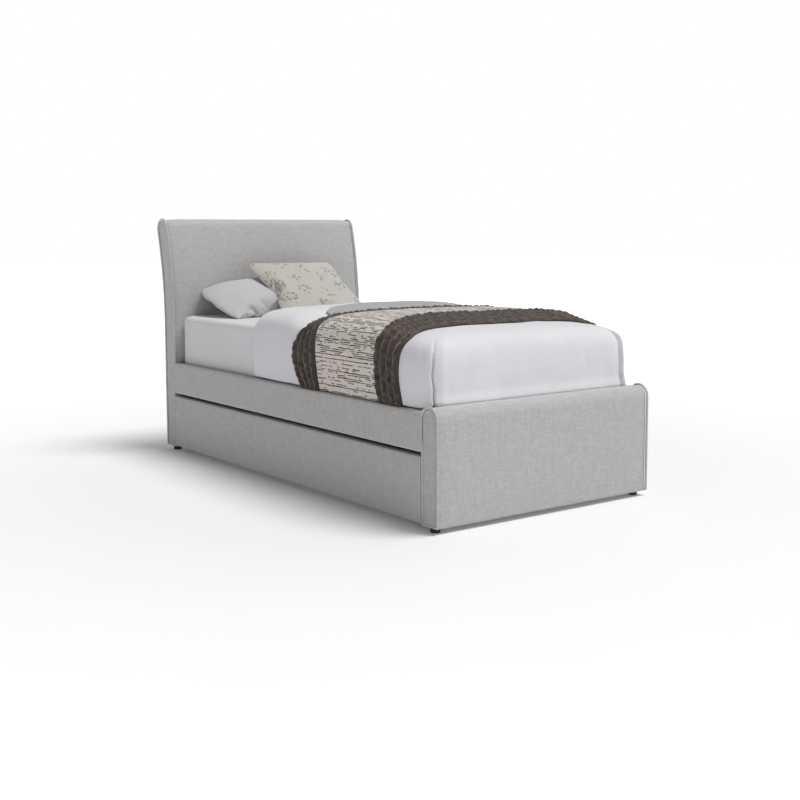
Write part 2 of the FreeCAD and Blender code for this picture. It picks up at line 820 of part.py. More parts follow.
def build_guest_bed():
    """Write the guest bed that rolls out."""
    ends = (panel_foot + panel_piping_size, panel_head - panel_piping_size)
    cover, foam, core = padded_bar(guest_left - rail_thickness, *ends, panel_bottom, panel_top)
    inwards = X_AXIS * -1
    seats = frame_screw_places()
    size = (frame_screw_radius, frame_screw_length)
    screw_bores = [screw_bore(seat, inwards, *size) for seat in seats]
    screws = [screw(seat, inwards, *size, frame_screw_head) for seat in seats]
    save("guest_panel_cover", cover)
    save("guest_panel_foam", foam)
    save("guest_panel_board", core)
    save("guest_panel_piping", *panel_piping())
    save("guest_end_rails", *[cut_all(rail, screw_bores) for rail in guest_end_rails()])
    save("guest_back_rail", cut_all(guest_back_rail(), screw_bores))
    save("guest_middle_rail", guest_middle_rail())
    save("guest_ledges", *guest_ledges())
    save("guest_slats", *guest_slats())
    save("guest_mattress", guest_mattress())
    save("guest_frame_screws", *screws)


def build_castors():
    """Write the castors under the guest bed."""
    blocks = []
    screws = []
    radius = castor_screw_radius
    length = castor_screw_length
    for x, y in castor_places().values():
        seats = castor_screw_places(x, y)
        bores = [screw_bore(seat, Z_AXIS, radius, length) for seat in seats]
        blocks.append(cut_all(castor_block(x, y), bores))
        screws += [screw(seat, Z_AXIS, radius, length, castor_screw_head) for seat in seats]
    save("castor_blocks", *blocks)
    save("castor_screws", *screws)
    save("castor_brackets", *[castor_bracket(x, y) for x, y in castor_places().values()])
    save("castor_axles", *[castor_axle(x, y) for x, y in castor_places().values()])
    for name, (x, y) in castor_places().items():
        save("castor_wheel_" + name, castor_wheel(x, y))


def rail_heights(board_top, count):
    """Heights of a board's cross rails, evenly from its foot to its top."""
    return spaced(count, post_bottom, board_top - half_board - cross_rail_height)


build_board("headboard", headboard, rail_heights(headboard_height, 5))
build_board("footboard", footboard, rail_heights(footboard_height, 3))
build_side_rails()
build_slat_bed()
save("floor_glides", *[glide(place) for place in glide_places()])
build_bedding()
build_guest_bed()
build_castors()
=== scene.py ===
import math
import bmesh
import bpy
import numpy as np
from bpy.props import FloatProperty, FloatVectorProperty, IntProperty, PointerProperty
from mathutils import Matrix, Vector
from mathutils.bvhtree import BVHTree


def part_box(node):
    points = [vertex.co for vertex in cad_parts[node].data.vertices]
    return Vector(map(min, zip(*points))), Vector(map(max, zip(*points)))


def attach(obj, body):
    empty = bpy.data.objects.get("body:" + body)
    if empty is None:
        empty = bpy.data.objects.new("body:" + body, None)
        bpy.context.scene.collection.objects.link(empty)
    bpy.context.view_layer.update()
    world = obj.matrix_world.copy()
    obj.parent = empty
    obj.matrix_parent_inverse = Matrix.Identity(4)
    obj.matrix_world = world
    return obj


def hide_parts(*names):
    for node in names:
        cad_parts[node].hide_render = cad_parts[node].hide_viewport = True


bl_info = {
    "name": "Trundle bed dressing",
    "version": (1, 0, 0),
    "blender": (4, 5, 0),
    "location": "3D View > Sidebar > Trundle bed",
    "description": "Upholstery, bedding, finishes and studio for a trundle bed",
    "category": "Object",
}

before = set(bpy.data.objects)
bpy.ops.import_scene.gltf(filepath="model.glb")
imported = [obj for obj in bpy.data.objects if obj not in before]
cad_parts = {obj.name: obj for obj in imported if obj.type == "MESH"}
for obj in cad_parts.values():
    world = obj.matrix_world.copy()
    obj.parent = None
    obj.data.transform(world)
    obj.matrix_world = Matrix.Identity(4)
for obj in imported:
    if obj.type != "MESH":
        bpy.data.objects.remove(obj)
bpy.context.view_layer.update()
MM = 0.001


# ---- colours, materials --------------------------------------------------------------------
def linear(code):
    """A linear colour from an sRGB hex value."""
    parts = [int(code[i:i + 2], 16) / 255 for i in (1, 3, 5)]
    return [c / 12.92 if c < 0.04045 else ((c + 0.055) / 1.055) ** 2.4 for c in parts]


def tinted(colour, factor=1.0):
    """The same colour, lighter or darker, with alpha."""
    return [min(1.0, c * factor) for c in colour[:3]] + [1.0]


def add(tree, kind, links=None, **settings):
    """Add a node, set its properties, and link or set its inputs. A node as a value means its first output."""
    made = tree.nodes.new(kind)
    for name, value in settings.items():
        setattr(made, name, value)
    for key, value in (links or {}).items():
        if isinstance(value, bpy.types.Node):
            value = value.outputs[0]
        if isinstance(value, bpy.types.NodeSocket):
            tree.links.new(value, made.inputs[key])
        else:
            made.inputs[key].default_value = value
    return made


def material(name, colour, roughness, **shader):
    """A new material with one Principled shader, its tree, and its coordinates."""
    made = bpy.data.materials.new(name)
    made.use_nodes = True
    made.diffuse_color = tinted(colour)
    tree = made.node_tree
    tree.nodes.clear()
    sockets = {"Base Color": tinted(colour), "Roughness": roughness}
    sockets.update({key.replace("_", " "): value for key, value in shader.items()})
    bsdf = add(tree, "ShaderNodeBsdfPrincipled", sockets, name="shader")
    add(tree, "ShaderNodeOutputMaterial", {"Surface": bsdf})
    return made, tree, add(tree, "ShaderNodeTexCoord")


def paint(tree, colour, *layers):
    """Colour the shader: one colour, and others laid over it, each as (factor, colour)."""
    for factor, above in layers:
        colour = add(tree, "ShaderNodeMix", {0: factor, 6: colour, 7: above}, data_type="RGBA").outputs[2]
    tree.links.new(colour, tree.nodes["shader"].inputs["Base Color"])


def relief(tree, height, distance, strength):
    """Bump on the shader, over what it has, from a height of 0 to 1 that stands for a distance in metres."""
    normal = tree.nodes["shader"].inputs["Normal"]
    links = {"Height": height, "Distance": distance, "Strength": strength}
    if normal.is_linked:
        links["Normal"] = normal.links[0].from_socket
    tree.links.new(add(tree, "ShaderNodeBump", links).outputs[0], normal)


def streaks(tree, source, sizes, low=0.3, high=0.7, detail=2.0):
    """Noise with cells of a size in millimetres along each axis, spread to 0 to 1."""
    placed = add(tree, "ShaderNodeMapping", {"Vector": source, "Scale": [1 / (size * MM) for size in sizes]})
    noise = add(tree, "ShaderNodeTexNoise", {"Vector": placed, "Scale": 1.0, "Detail": detail})
    return add(tree, "ShaderNodeMapRange", {"Value": noise, "From Min": low, "From Max": high})


def weave(tree, source, warp, weft, low=0.3, high=0.7):
    """Threads that cross: streaks of two sets of sizes, added."""
    return add(tree, "ShaderNodeMath", {0: streaks(tree, source, warp, low, high),
                                        1: streaks(tree, source, weft, low, high)}, operation="ADD")


def swayed(tree, source, size, reach):
    """Coordinates that noise with cells of a size in millimetres pushes about within a reach."""
    noise = add(tree, "ShaderNodeTexNoise", {"Vector": source, "Scale": 1 / (size * MM), "Detail": 2.0})
    push = add(tree, "ShaderNodeVectorMath", {0: noise.outputs[1], 1: reach}, operation="MULTIPLY")
    return add(tree, "ShaderNodeVectorMath", {0: source, 1: push}, operation="ADD")


def off_middle(tree, rows):
    """How far a place lies from the middle of its row, from 0 to 0.5, where rows is 1 wide for each row."""
    part = add(tree, "ShaderNodeMath", {0: rows}, operation="FRACT")
    shift = add(tree, "ShaderNodeMath", {0: part, 1: 0.5}, operation="SUBTRACT")
    return add(tree, "ShaderNodeMath", {0: shift}, operation="ABSOLUTE")


def flecks(tree, place, size):
    """Irregular cells of a size in millimetres: the distance from each one's middle, and a tone of its own."""
    cells = add(tree, "ShaderNodeTexVoronoi", {"Vector": place, "Scale": 1 / (size * MM)})
    return cells, add(tree, "ShaderNodeSeparateColor", {0: cells.outputs["Color"]})


def linen(name, colour, contrast):
    """Linen-look polyester, plain weave with slubs: a matt cross-hatch of lighter and darker threads."""
    made, tree, where = material(name, colour, 0.93, Sheen_Weight=0.15, Sheen_Roughness=0.6)
    place = where.outputs["Object"]
    # threads are 0.9 mm and are drawn about 4 mm wide, because finer ones don't show
    threads = weave(tree, place, (38.5, 38.5, 3.85), (3.85, 3.85, 38.5), 0.28, 0.72)
    cloth = add(tree, "ShaderNodeMath", {0: threads, 1: 0.5}, operation="MULTIPLY")
    slubs = add(tree, "ShaderNodeMath", {0: streaks(tree, place, (29.4, 29.4, 3.03), 0.60, 0.74, 1.0),
                                         1: streaks(tree, place, (3.03, 3.03, 29.4), 0.61, 0.75, 1.0)},
                operation="MAXIMUM")
    light = add(tree, "ShaderNodeMath", {0: slubs, 1: 0.45}, operation="MULTIPLY")
    paint(tree, tinted(colour, 1 - contrast), (cloth, tinted(colour, 1 + contrast)), (light, tinted(colour, 1.35)))
    relief(tree, weave(tree, place, (16.7, 16.7, 1.11), (1.11, 1.11, 16.7)), 0.25 * MM, 0.5)
    relief(tree, cloth, 0.5 * MM, 0.5)
    return made


def cotton(name, colour, crease=0.6, roughness=0.88):
    """Cotton percale, washed and pressed: matt, with soft creases and a thread count too fine to count."""
    made, tree, where = material(name, colour, roughness, Sheen_Weight=0.2, Sheen_Roughness=0.5)
    place = where.outputs["Object"]
    paint(tree, tinted(colour, 0.97), (streaks(tree, place, (200, 200, 200), detail=3.0), tinted(colour, 1.02)))
    # a weave of 0.3 mm threads is drawn at 1.4 mm, because a finer one doesn't show
    relief(tree, weave(tree, place, (1.43, 1.43, 16.7), (16.7, 16.7, 1.43)), 0.12 * MM, 0.4)
    relief(tree, streaks(tree, place, (111, 111, 111), 0.2, 0.8, 4.0), 5 * MM, crease)
    return made


def quilted_brown(name, colour):
    """Brushed polyester sateen, quilted in channels: dark and soft, with streaks that are partly the cloth's own tone
    and partly painted sheen, paler where the brushed pile turns.
    """
    made, tree, where = material(name, colour, 0.7, Sheen_Weight=0.9, Sheen_Roughness=0.35,
                                 Sheen_Tint=tinted(linear("#C9C3BA")))
    uv = where.outputs["UV"]
    nap_and_painted_sheen = streaks(tree, uv, (11.1, 40, 1000), detail=3.0)
    # painted sheen: the streaks run from 0.6 to 1.5 of the band's colour, partly its own tone and partly the
    # channels' highlights painted in
    paint(tree, tinted(colour, 0.6), (nap_and_painted_sheen, tinted(colour, 1.5)))
    relief(tree, streaks(tree, uv, (3.33, 1.11, 1000)), 0.2 * MM, 0.5)
    relief(tree, nap_and_painted_sheen, 1.2 * MM, 0.6)
    return made


def dashed_ivory(name, ground, yarn):
    """Wool-blend throw cloth with a supplementary yarn: cream, with broken rows of dark dashes that stand proud."""
    made, tree, where = material(name, ground, 0.9, Sheen_Weight=0.25)
    uv = where.outputs["UV"]
    split = add(tree, "ShaderNodeSeparateXYZ", {0: uv})
    # rows lie 7.5 mm apart, and a dash is 15 to 90 mm long
    wander = add(tree, "ShaderNodeMath", {0: streaks(tree, uv, (45.5, 11.1, 1000), 0.0, 1.0), 1: 1.1},
                 operation="MULTIPLY")
    rows = add(tree, "ShaderNodeMath", {0: split.outputs[1], 1: 1 / (7.5 * MM), 2: wander},
               operation="MULTIPLY_ADD")
    row = add(tree, "ShaderNodeMath", {0: rows}, operation="FLOOR")
    mood = add(tree, "ShaderNodeTexWhiteNoise", {"W": row}, noise_dimensions="1D")
    distance = add(tree, "ShaderNodeMath", {0: split, 1: 1 / (38.5 * MM)}, operation="MULTIPLY")
    jump = add(tree, "ShaderNodeMath", {0: row, 1: 7.31}, operation="MULTIPLY")
    along = add(tree, "ShaderNodeCombineXYZ", {0: distance, 1: jump, 2: mood})
    run = add(tree, "ShaderNodeTexNoise", {"Vector": along, "Scale": 1.0, "Detail": 1.5})
    start = add(tree, "ShaderNodeMapRange", {"Value": mood, "To Min": 0.34, "To Max": 0.66})
    excess = add(tree, "ShaderNodeMath", {0: run, 1: start}, operation="SUBTRACT")
    dash = add(tree, "ShaderNodeMapRange", {"Value": excess, "From Min": -0.01, "From Max": 0.03})
    line = add(tree, "ShaderNodeMapRange", {"Value": off_middle(tree, rows), "From Min": 0.3, "From Max": 0.2})
    pattern = add(tree, "ShaderNodeMath", {0: dash, 1: line}, operation="MULTIPLY")
    soft = streaks(tree, uv, (2, 6.25, 1000))
    paint(tree, tinted(ground, 0.9), (soft, tinted(ground, 1.05)), (pattern, tinted(yarn)))
    relief(tree, soft, 0.3 * MM, 0.5)
    relief(tree, pattern, 1.0 * MM, 0.7)
    return made


def sprig_print(name, ground, petal, leaf, dark):
    """Cotton-linen cover printed with small scattered sprigs: cream, with ochre, taupe and grey clusters."""
    made, tree, where = material(name, ground, 0.88, Sheen_Weight=0.2)
    uv = where.outputs["UV"]
    moved = swayed(tree, uv, 38.5, (0.02, 0.02, 0.0))
    # clusters lie about 95 mm apart, and a blossom in one is about 17 mm
    cluster = add(tree, "ShaderNodeTexVoronoi", {"Vector": moved, "Scale": 1 / (95.2 * MM), "Randomness": 0.8},
                  voronoi_dimensions="2D")
    flower = add(tree, "ShaderNodeTexVoronoi", {"Vector": moved, "Scale": 1 / (17.24 * MM), "Randomness": 0.9},
                 voronoi_dimensions="2D")
    near = add(tree, "ShaderNodeMapRange", {"Value": cluster, "From Min": 0.42, "From Max": 0.3})
    from_ring = add(tree, "ShaderNodeMath", {0: flower, 1: 0.3}, operation="SUBTRACT")
    ring = add(tree, "ShaderNodeMath", {0: from_ring}, operation="ABSOLUTE")
    outline = add(tree, "ShaderNodeMapRange", {"Value": ring, "From Min": 0.13, "From Max": 0.06})
    heart = add(tree, "ShaderNodeMapRange", {"Value": flower, "From Min": 0.2, "From Max": 0.1})
    choice = add(tree, "ShaderNodeSeparateColor", {0: cluster.outputs["Color"]})
    kind = add(tree, "ShaderNodeMapRange", {"Value": choice, "From Min": 0.4, "From Max": 0.6})
    single = add(tree, "ShaderNodeSeparateColor", {0: flower.outputs["Color"]})
    shown = add(tree, "ShaderNodeMapRange", {"Value": single.outputs[1], "From Min": 0.42, "From Max": 0.5})
    printed = add(tree, "ShaderNodeMath", {0: near, 1: shown}, operation="MULTIPLY")
    petals = add(tree, "ShaderNodeMix", {0: kind, 6: tinted(petal), 7: tinted(leaf)}, data_type="RGBA").outputs[2]
    layers = []
    for shape, ink in ((outline, petals), (heart, tinted(dark))):
        layers.append((add(tree, "ShaderNodeMath", {0: shape, 1: printed}, operation="MULTIPLY"), ink))
    paint(tree, tinted(ground), *layers)
    relief(tree, weave(tree, uv, (1.11, 12.5, 1000), (12.5, 1.11, 1000)), 0.2 * MM, 0.5)
    return made


def ticking(name, ground, stripe):
    """Woven mattress ticking: off-white twill with narrow grey stripes 40 mm apart."""
    made, tree, where = material(name, ground, 0.85, Sheen_Weight=0.15)
    place = where.outputs["Object"]
    across = add(tree, "ShaderNodeSeparateXYZ", {0: place})
    rows = add(tree, "ShaderNodeMath", {0: across, 1: 1 / (40 * MM)}, operation="MULTIPLY")
    band = add(tree, "ShaderNodeMapRange", {"Value": off_middle(tree, rows), "From Min": 0.07, "From Max": 0.05,
                                            "To Max": 0.7})
    twill = streaks(tree, place, (2, 2, 2))
    paint(tree, tinted(ground, 0.94), (twill, tinted(ground, 1.03)), (band, tinted(stripe)))
    relief(tree, twill, 0.3 * MM, 0.5)
    return made


def wood(name, colour, sizes, contrast, roughness=0.6):
    """Sawn and sanded timber: straight grain in darker and lighter lines along its length."""
    made, tree, where = material(name, colour, roughness)
    moved = swayed(tree, where.outputs["Object"], 167, (0.006, 0.006, 0.006))
    grain = streaks(tree, moved, sizes, detail=5.0)
    pores = add(tree, "ShaderNodeMath", {0: streaks(tree, moved, [size / 4 for size in sizes], 0.45, 0.8), 1: 0.4},
                operation="MULTIPLY")
    paint(tree, tinted(colour, 1 - contrast), (grain, tinted(colour, 1 + contrast)), (pores, tinted(colour, 0.6)))
    relief(tree, grain, 0.2 * MM, 0.4)
    return made


def chips(name, colour, size, contrast, roughness=0.75):
    """Pressed wood board: flakes of a few millimetres in two tones of brown."""
    made, tree, where = material(name, colour, roughness)
    flakes, tone = flecks(tree, where.outputs["Object"], size)
    paint(tree, tinted(colour, 1 - contrast), (tone, tinted(colour, 1 + contrast)))
    relief(tree, flakes, 0.2 * MM, 0.3)
    return made


def zinc(name, colour):
    """Zinc-plated pressed steel: grey metal with a faint spangle and fine rolling lines."""
    made, tree, where = material(name, colour, 0.34, Metallic=1.0)
    place = where.outputs["Object"]
    paint(tree, tinted(colour, 0.88), (flecks(tree, place, 4)[1], tinted(colour, 1.08)))
    worn = streaks(tree, place, (11.1, 11.1, 11.1), detail=4.0)
    rough = add(tree, "ShaderNodeMapRange", {"Value": worn, "To Min": 0.28, "To Max": 0.5})
    tree.links.new(rough.outputs[0], tree.nodes["shader"].inputs["Roughness"])
    relief(tree, streaks(tree, place, (25, 1.11, 1.11)), 0.05 * MM, 0.4)
    return made


def moulded(name, colour, roughness):
    """Injection-moulded polypropylene: black with a fine spark-eroded grain and a little pale dust."""
    made, tree, where = material(name, colour, roughness)
    place = where.outputs["Object"]
    dust = streaks(tree, place, (16.7, 16.7, 16.7), 0.5, 0.8, 4.0)
    paint(tree, tinted(colour), (dust, tinted(colour, 2.2)))
    relief(tree, streaks(tree, place, (0.667, 0.667, 0.667)), 0.05 * MM, 0.5)
    return made


def cellular(name, colour):
    """Cut polyether foam: pale, matt, with open cells of about a millimetre."""
    made, tree, where = material(name, colour, 0.97)
    cells = flecks(tree, where.outputs["Object"], 1.5)[0]
    paint(tree, tinted(colour, 0.8), (cells, tinted(colour, 1.05)))
    relief(tree, cells, 0.5 * MM, 0.6)
    return made


def thread(name, colour):
    """Spun polyester sewing thread: a twisted two-ply cord with a soft shine."""
    made, tree, where = material(name, colour, 0.6, Sheen_Weight=0.3)
    twist = streaks(tree, where.outputs["Object"], (1.11, 1.11, 1.11))
    paint(tree, tinted(colour, 0.8), (twist, tinted(colour, 1.15)))
    relief(tree, twist, 0.1 * MM, 0.6)
    return made


# ---- mesh helpers --------------------------------------------------------------------------
LATTICE = 32


def settings():
    """The sizes and colours that the sidebar shows."""
    return bpy.context.scene.trundle_bed


def cloud(points, size, seed):
    """Smooth noise from -1 to 1 through space, in cells of one size in metres. It repeats after LATTICE cells."""
    lattice = np.random.default_rng(seed).uniform(-1, 1, (LATTICE, LATTICE, LATTICE))
    scaled = np.asarray(points, float) / size
    cell = np.floor(scaled).astype(int)
    part = scaled - cell
    part = part * part * (3 - 2 * part)
    total = 0.0
    for corner in range(8):
        step = np.array([corner & 1, corner >> 1 & 1, corner >> 2 & 1])
        weight = np.prod(np.where(step, part, 1 - part), axis=-1)
        spot = (cell + step) % LATTICE
        total = total + weight * lattice[spot[..., 0], spot[..., 1], spot[..., 2]]
    return total


def ramp(value, start, end):
    """A smooth step from 0 at start to 1 at end."""
    t = np.clip((value - start) / (end - start), 0, 1)
    return t * t * (3 - 2 * t)


def unit(vectors):
    """The same directions, one long."""
    return vectors / np.maximum(np.linalg.norm(vectors, axis=-1, keepdims=True), 1e-12)


def grid_faces(rows, columns, start=0, wrap=False, flip=False):
    """Quads over a grid of points. wrap joins the last column to the first."""
    i = np.arange(rows - 1)[:, None]
    j = np.arange(columns if wrap else columns - 1)[None, :]
    k = (j + 1) % columns
    row, below = i * columns, (i + 1) * columns
    quads = np.stack([row + j, row + k, below + k, below + j], axis=-1).reshape(-1, 4) + start
    return quads[:, ::-1] if flip else quads


def grid_normals(points):
    """A unit normal at each point of a grid."""
    down = np.gradient(points, axis=0)
    across = np.gradient(points, axis=1)
    return unit(np.cross(across, down))


def resampled(line, step):
    """Points along a line at an even spacing near a step."""
    lengths = np.concatenate([[0], np.cumsum(np.linalg.norm(np.diff(line, axis=0), axis=1))])
    count = max(2, int(round(lengths[-1] / step)) + 1)
    at = np.linspace(0, lengths[-1], count)
    return np.stack([np.interp(at, lengths, line[:, k]) for k in range(line.shape[1])], axis=1)


def build(name, parts, finish, slot, body="bed", merge=0.02 * MM):
    """One object from grids of (points, faces, uv), with doubles merged and faces turned outwards."""
    points, faces, uvs, start = [], [], [], 0
    for grid, quads, uv in parts:
        flat = grid.reshape(-1, 3)
        points.append(flat)
        faces.append(np.asarray(quads) + start)
        uvs.append(np.zeros((len(flat), 2)) if uv is None else uv.reshape(-1, 2))
        start += len(flat)
    mesh = bpy.data.meshes.new(name)
    corners = np.concatenate(faces)
    mesh.from_pydata(np.concatenate(points).tolist(), [], corners.tolist())
    layer = mesh.uv_layers.new(name="flat")
    layer.data.foreach_set("uv", np.concatenate(uvs)[corners.reshape(-1)].reshape(-1).astype(np.float32))
    tidy(mesh, merge)
    return place(name, mesh, finish, slot, body)


def tidy(mesh, merge):
    """Merge doubles, drop flat faces and turn faces outwards."""
    work = bmesh.new()
    work.from_mesh(mesh)
    bmesh.ops.remove_doubles(work, verts=work.verts, dist=merge)
    bmesh.ops.dissolve_degenerate(work, edges=work.edges, dist=merge / 4)
    bmesh.ops.recalc_face_normals(work, faces=work.faces)
    work.to_mesh(mesh)
    work.free()


def wrapped(name, grid, finish, slot, body="bed"):
    """One object from a grid whose last column joins its first."""
    return build(name, [(grid, grid_faces(*grid.shape[:2], wrap=True), None)], finish, slot, body)


def two_sided(name, over, under, finish, slot, uv=None, merge=0.02 * MM):
    """One object from an upper and a lower grid that share their rim."""
    rows, columns = over.shape[:2]
    parts = [(over, grid_faces(rows, columns), uv), (under, grid_faces(rows, columns, flip=True), uv)]
    return build(name, parts, finish, slot, merge=merge)


def place(name, mesh, finish, slot=None, body=None):
    """Put a mesh in the scene, smooth, as a piece of one body if it has one."""
    piece = bpy.data.objects.new(name, mesh)
    bpy.context.scene.collection.objects.link(piece)
    mesh.materials.clear()
    mesh.materials.append(finish)
    mesh.polygons.foreach_set("use_smooth", [True] * len(mesh.polygons))
    mesh.update()
    if body:
        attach(piece, body)
    return piece


def points_of(mesh):
    """A mesh's points, one row each."""
    flat = np.empty(len(mesh.vertices) * 3, np.float32)
    mesh.vertices.foreach_get("co", flat)
    return flat.reshape(-1, 3).astype(float)


def tree_of(piece):
    """A search tree over a piece's faces as shown."""
    shown = piece.evaluated_get(bpy.context.evaluated_depsgraph_get()).data
    return BVHTree.FromPolygons([v.co for v in shown.vertices], [tuple(p.vertices) for p in shown.polygons])


SWELL_PRESSURE = 4.0
SWELL_FRAMES = 20
COTTON_STIFFNESS = 15.0
COTTON_BENDING = 0.3


def swell(mesh, cap):
    """Blow a closed mesh up with the cloth solver. No point moves further than the cap."""
    before = points_of(mesh)
    scene = bpy.context.scene
    piece = bpy.data.objects.new("swelling", mesh)
    scene.collection.objects.link(piece)
    cloth = piece.modifiers.new("swell", "CLOTH")
    cloth.settings.use_pressure = True
    cloth.settings.uniform_pressure_force = SWELL_PRESSURE
    cloth.settings.tension_stiffness = COTTON_STIFFNESS
    cloth.settings.compression_stiffness = COTTON_STIFFNESS
    cloth.settings.bending_stiffness = COTTON_BENDING
    cloth.settings.effector_weights.gravity = 0
    cloth.point_cache.frame_start = 1
    cloth.point_cache.frame_end = SWELL_FRAMES
    for number in range(1, SWELL_FRAMES + 1):
        scene.frame_set(number)
    shown = piece.evaluated_get(bpy.context.evaluated_depsgraph_get())
    after = points_of(shown.data)
    scene.frame_set(1)
    bpy.data.objects.remove(piece)
    move = after - before
    length = np.linalg.norm(move, axis=1, keepdims=True)
    return before + move * np.minimum(1, cap / np.maximum(length, 1e-9))


# ---- Geometry Nodes ------------------------------------------------------------------------
def node_group(name, **inputs):
    """A new geometry tree with named inputs, and the sockets where they arrive."""
    tree = bpy.data.node_groups.new(name, "GeometryNodeTree")
    kinds = {"Geometry": "Geometry", **inputs, "Finish": "Material"}
    for label, kind in kinds.items():
        tree.interface.new_socket(label, in_out="INPUT", socket_type="NodeSocket" + kind)
    tree.interface.new_socket("Geometry", in_out="OUTPUT", socket_type="NodeSocketGeometry")
    return tree, add(tree, "NodeGroupInput").outputs


def dressed(tree, geometry, finish):
    """End a tree: make its copies real and give them their finish."""
    real = add(tree, "GeometryNodeRealizeInstances", {"Geometry": geometry})
    done = add(tree, "GeometryNodeSetMaterial", {"Geometry": real, "Material": finish})
    add(tree, "NodeGroupOutput", {0: done})
    return tree


def stitch_tree():
    """Small spindles set end to end along every line of the mesh."""
    tree, given = node_group("stitches_along_a_line", Pitch="Float", Length="Float", Width="Float")
    curve = add(tree, "GeometryNodeMeshToCurve", {"Mesh": given["Geometry"]})
    spots = add(tree, "GeometryNodeCurveToPoints", {"Curve": curve, "Length": given["Pitch"]}, mode="LENGTH")
    bead = add(tree, "GeometryNodeMeshUVSphere", {"Segments": 6, "Rings": 4, "Radius": 0.5})
    size = add(tree, "ShaderNodeCombineXYZ", {0: given["Width"], 1: given["Width"], 2: given["Length"]})
    spindle = add(tree, "GeometryNodeTransform", {"Geometry": bead, "Scale": size})
    placed = add(tree, "GeometryNodeInstanceOnPoints", {
        "Points": spots.outputs["Points"], "Instance": spindle, "Rotation": spots.outputs["Rotation"]})
    return dressed(tree, placed, given["Finish"])


def cord_tree():
    """A round cord along every line of the mesh."""
    tree, given = node_group("cord_along_a_line", Radius="Float", Sides="Int")
    curve = add(tree, "GeometryNodeMeshToCurve", {"Mesh": given["Geometry"]})
    ring = add(tree, "GeometryNodeCurvePrimitiveCircle", {"Resolution": given["Sides"], "Radius": given["Radius"]})
    tube = add(tree, "GeometryNodeCurveToMesh", {"Curve": curve, "Profile Curve": ring, "Fill Caps": True})
    return dressed(tree, tube, given["Finish"])


def tuft_tree():
    """A flat button at every point of the mesh, each a little larger or smaller than the next."""
    tree, given = node_group("buttons_at_points", Diameter="Float", Height="Float", Seed="Int")
    spots = add(tree, "GeometryNodeMeshToPoints", {"Mesh": given["Geometry"]})
    ball = add(tree, "GeometryNodeMeshUVSphere", {"Segments": 16, "Rings": 8, "Radius": 0.5})
    size = add(tree, "ShaderNodeCombineXYZ", {0: given["Diameter"], 1: given["Diameter"], 2: given["Height"]})
    button = add(tree, "GeometryNodeTransform", {"Geometry": ball, "Scale": size})
    vary = add(tree, "FunctionNodeRandomValue", {2: 0.85, 3: 1.1, "Seed": given["Seed"]}, data_type="FLOAT")
    placed = add(tree, "GeometryNodeInstanceOnPoints", {
        "Points": spots, "Instance": button, "Scale": vary.outputs[1]})
    return dressed(tree, placed, given["Finish"])


def grown(name, tree, lines, values, finish, slot, body="bed", closed=False):
    """A piece grown by a geometry tree from lines of points, as a plain mesh."""
    points, edges = [], []
    for line in lines:
        start, count = len(points), len(line)
        points.extend(np.asarray(line).tolist())
        edges.extend([(start + k, start + k + 1) for k in range(count - 1)])
        if closed:
            edges.append((start + count - 1, start))
    path = bpy.data.meshes.new(name + "_path")
    path.from_pydata(points, edges, [])
    carrier = bpy.data.objects.new(name + "_path", path)
    bpy.context.scene.collection.objects.link(carrier)
    modifier = carrier.modifiers.new("grow", "NODES")
    modifier.node_group = tree
    sockets = {item.name: item.identifier for item in tree.interface.items_tree if item.in_out == "INPUT"}
    for label, value in {**values, "Finish": finish}.items():
        modifier[sockets[label]] = value
    carrier.update_tag()
    shown = carrier.evaluated_get(bpy.context.evaluated_depsgraph_get())
    mesh = bpy.data.meshes.new_from_object(shown)
    bpy.data.objects.remove(carrier)
    mesh.name = name
    return place(name, mesh, finish, slot, body)


def cord(name, lines, radius, sides, look, slot, body="bed"):
    """Closed loops of round cord."""
    return grown(name, cord_tree(), lines, {"Radius": radius, "Sides": sides}, LOOKS[look], slot, body, closed=True)


# ---- boards --------------------------------------------------------------------------------
BOARD_THICKNESS = 85 * MM
CURVE_START = 600 * MM       # height where the headboard begins to lean back
GUEST_BED_TOP = 290 * MM     # height below which the guest bed passes between the boards
OUTLINE_STEP = 9 * MM
UNDERSIDE_POINTS = 6         # along a board's underside, at the end of its outline


def board_middle(node):
    """Points (y, z) up the middle of a board, and their upward directions."""
    low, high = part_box(node)
    top = high.z - BOARD_THICKNESS / 2
    middle = low.y + BOARD_THICKNESS / 2
    lean = high.y - low.y - BOARD_THICKNESS
    turn = min(CURVE_START, top)
    heights = np.linspace(low.z, turn, max(2, int((turn - low.z) / OUTLINE_STEP)))
    line = np.stack([np.full_like(heights, middle), heights], axis=1)
    upward = np.tile([0.0, 1.0], (len(line), 1))
    if lean > MM:
        rise = top - turn
        radius = (rise * rise + lean * lean) / (2 * lean)
        angle = np.linspace(0, math.asin(rise / radius), int(rise / OUTLINE_STEP))[1:]
        arc = np.stack([middle + radius * (1 - np.cos(angle)), turn + radius * np.sin(angle)], axis=1)
        line = np.concatenate([line, arc])
        upward = np.concatenate([upward, np.stack([np.sin(angle), np.cos(angle)], axis=1)])
    return line, upward


def board_outline(node, inset=0.0):
    """The closed side outline (y, z) of a board, its outward directions, front first, and its length so far."""
    line, upward = board_middle(node)
    front = np.stack([-upward[:, 1], upward[:, 0]], axis=1)
    half = BOARD_THICKNESS / 2 - inset
    angle = np.linspace(0, math.pi, 26)[1:-1, None]
    cap = front[-1] * np.cos(angle) + upward[-1] * np.sin(angle)
    outward = np.concatenate([front, cap, -front[::-1]])
    centre = np.concatenate([line, np.repeat(line[-1:], len(cap), axis=0), line[::-1]])
    outline = centre + outward * half
    outline[[0, -1], 1] += inset
    underside = np.linspace(outline[-1], outline[0], UNDERSIDE_POINTS + 2)[1:-1]
    outline = np.concatenate([outline, underside])
    outward = np.concatenate([outward, np.tile([0.0, -1.0], (UNDERSIDE_POINTS, 1))])
    length = np.concatenate([[0], np.cumsum(np.linalg.norm(np.diff(outline, axis=0), axis=1))])
    return outline, outward, length


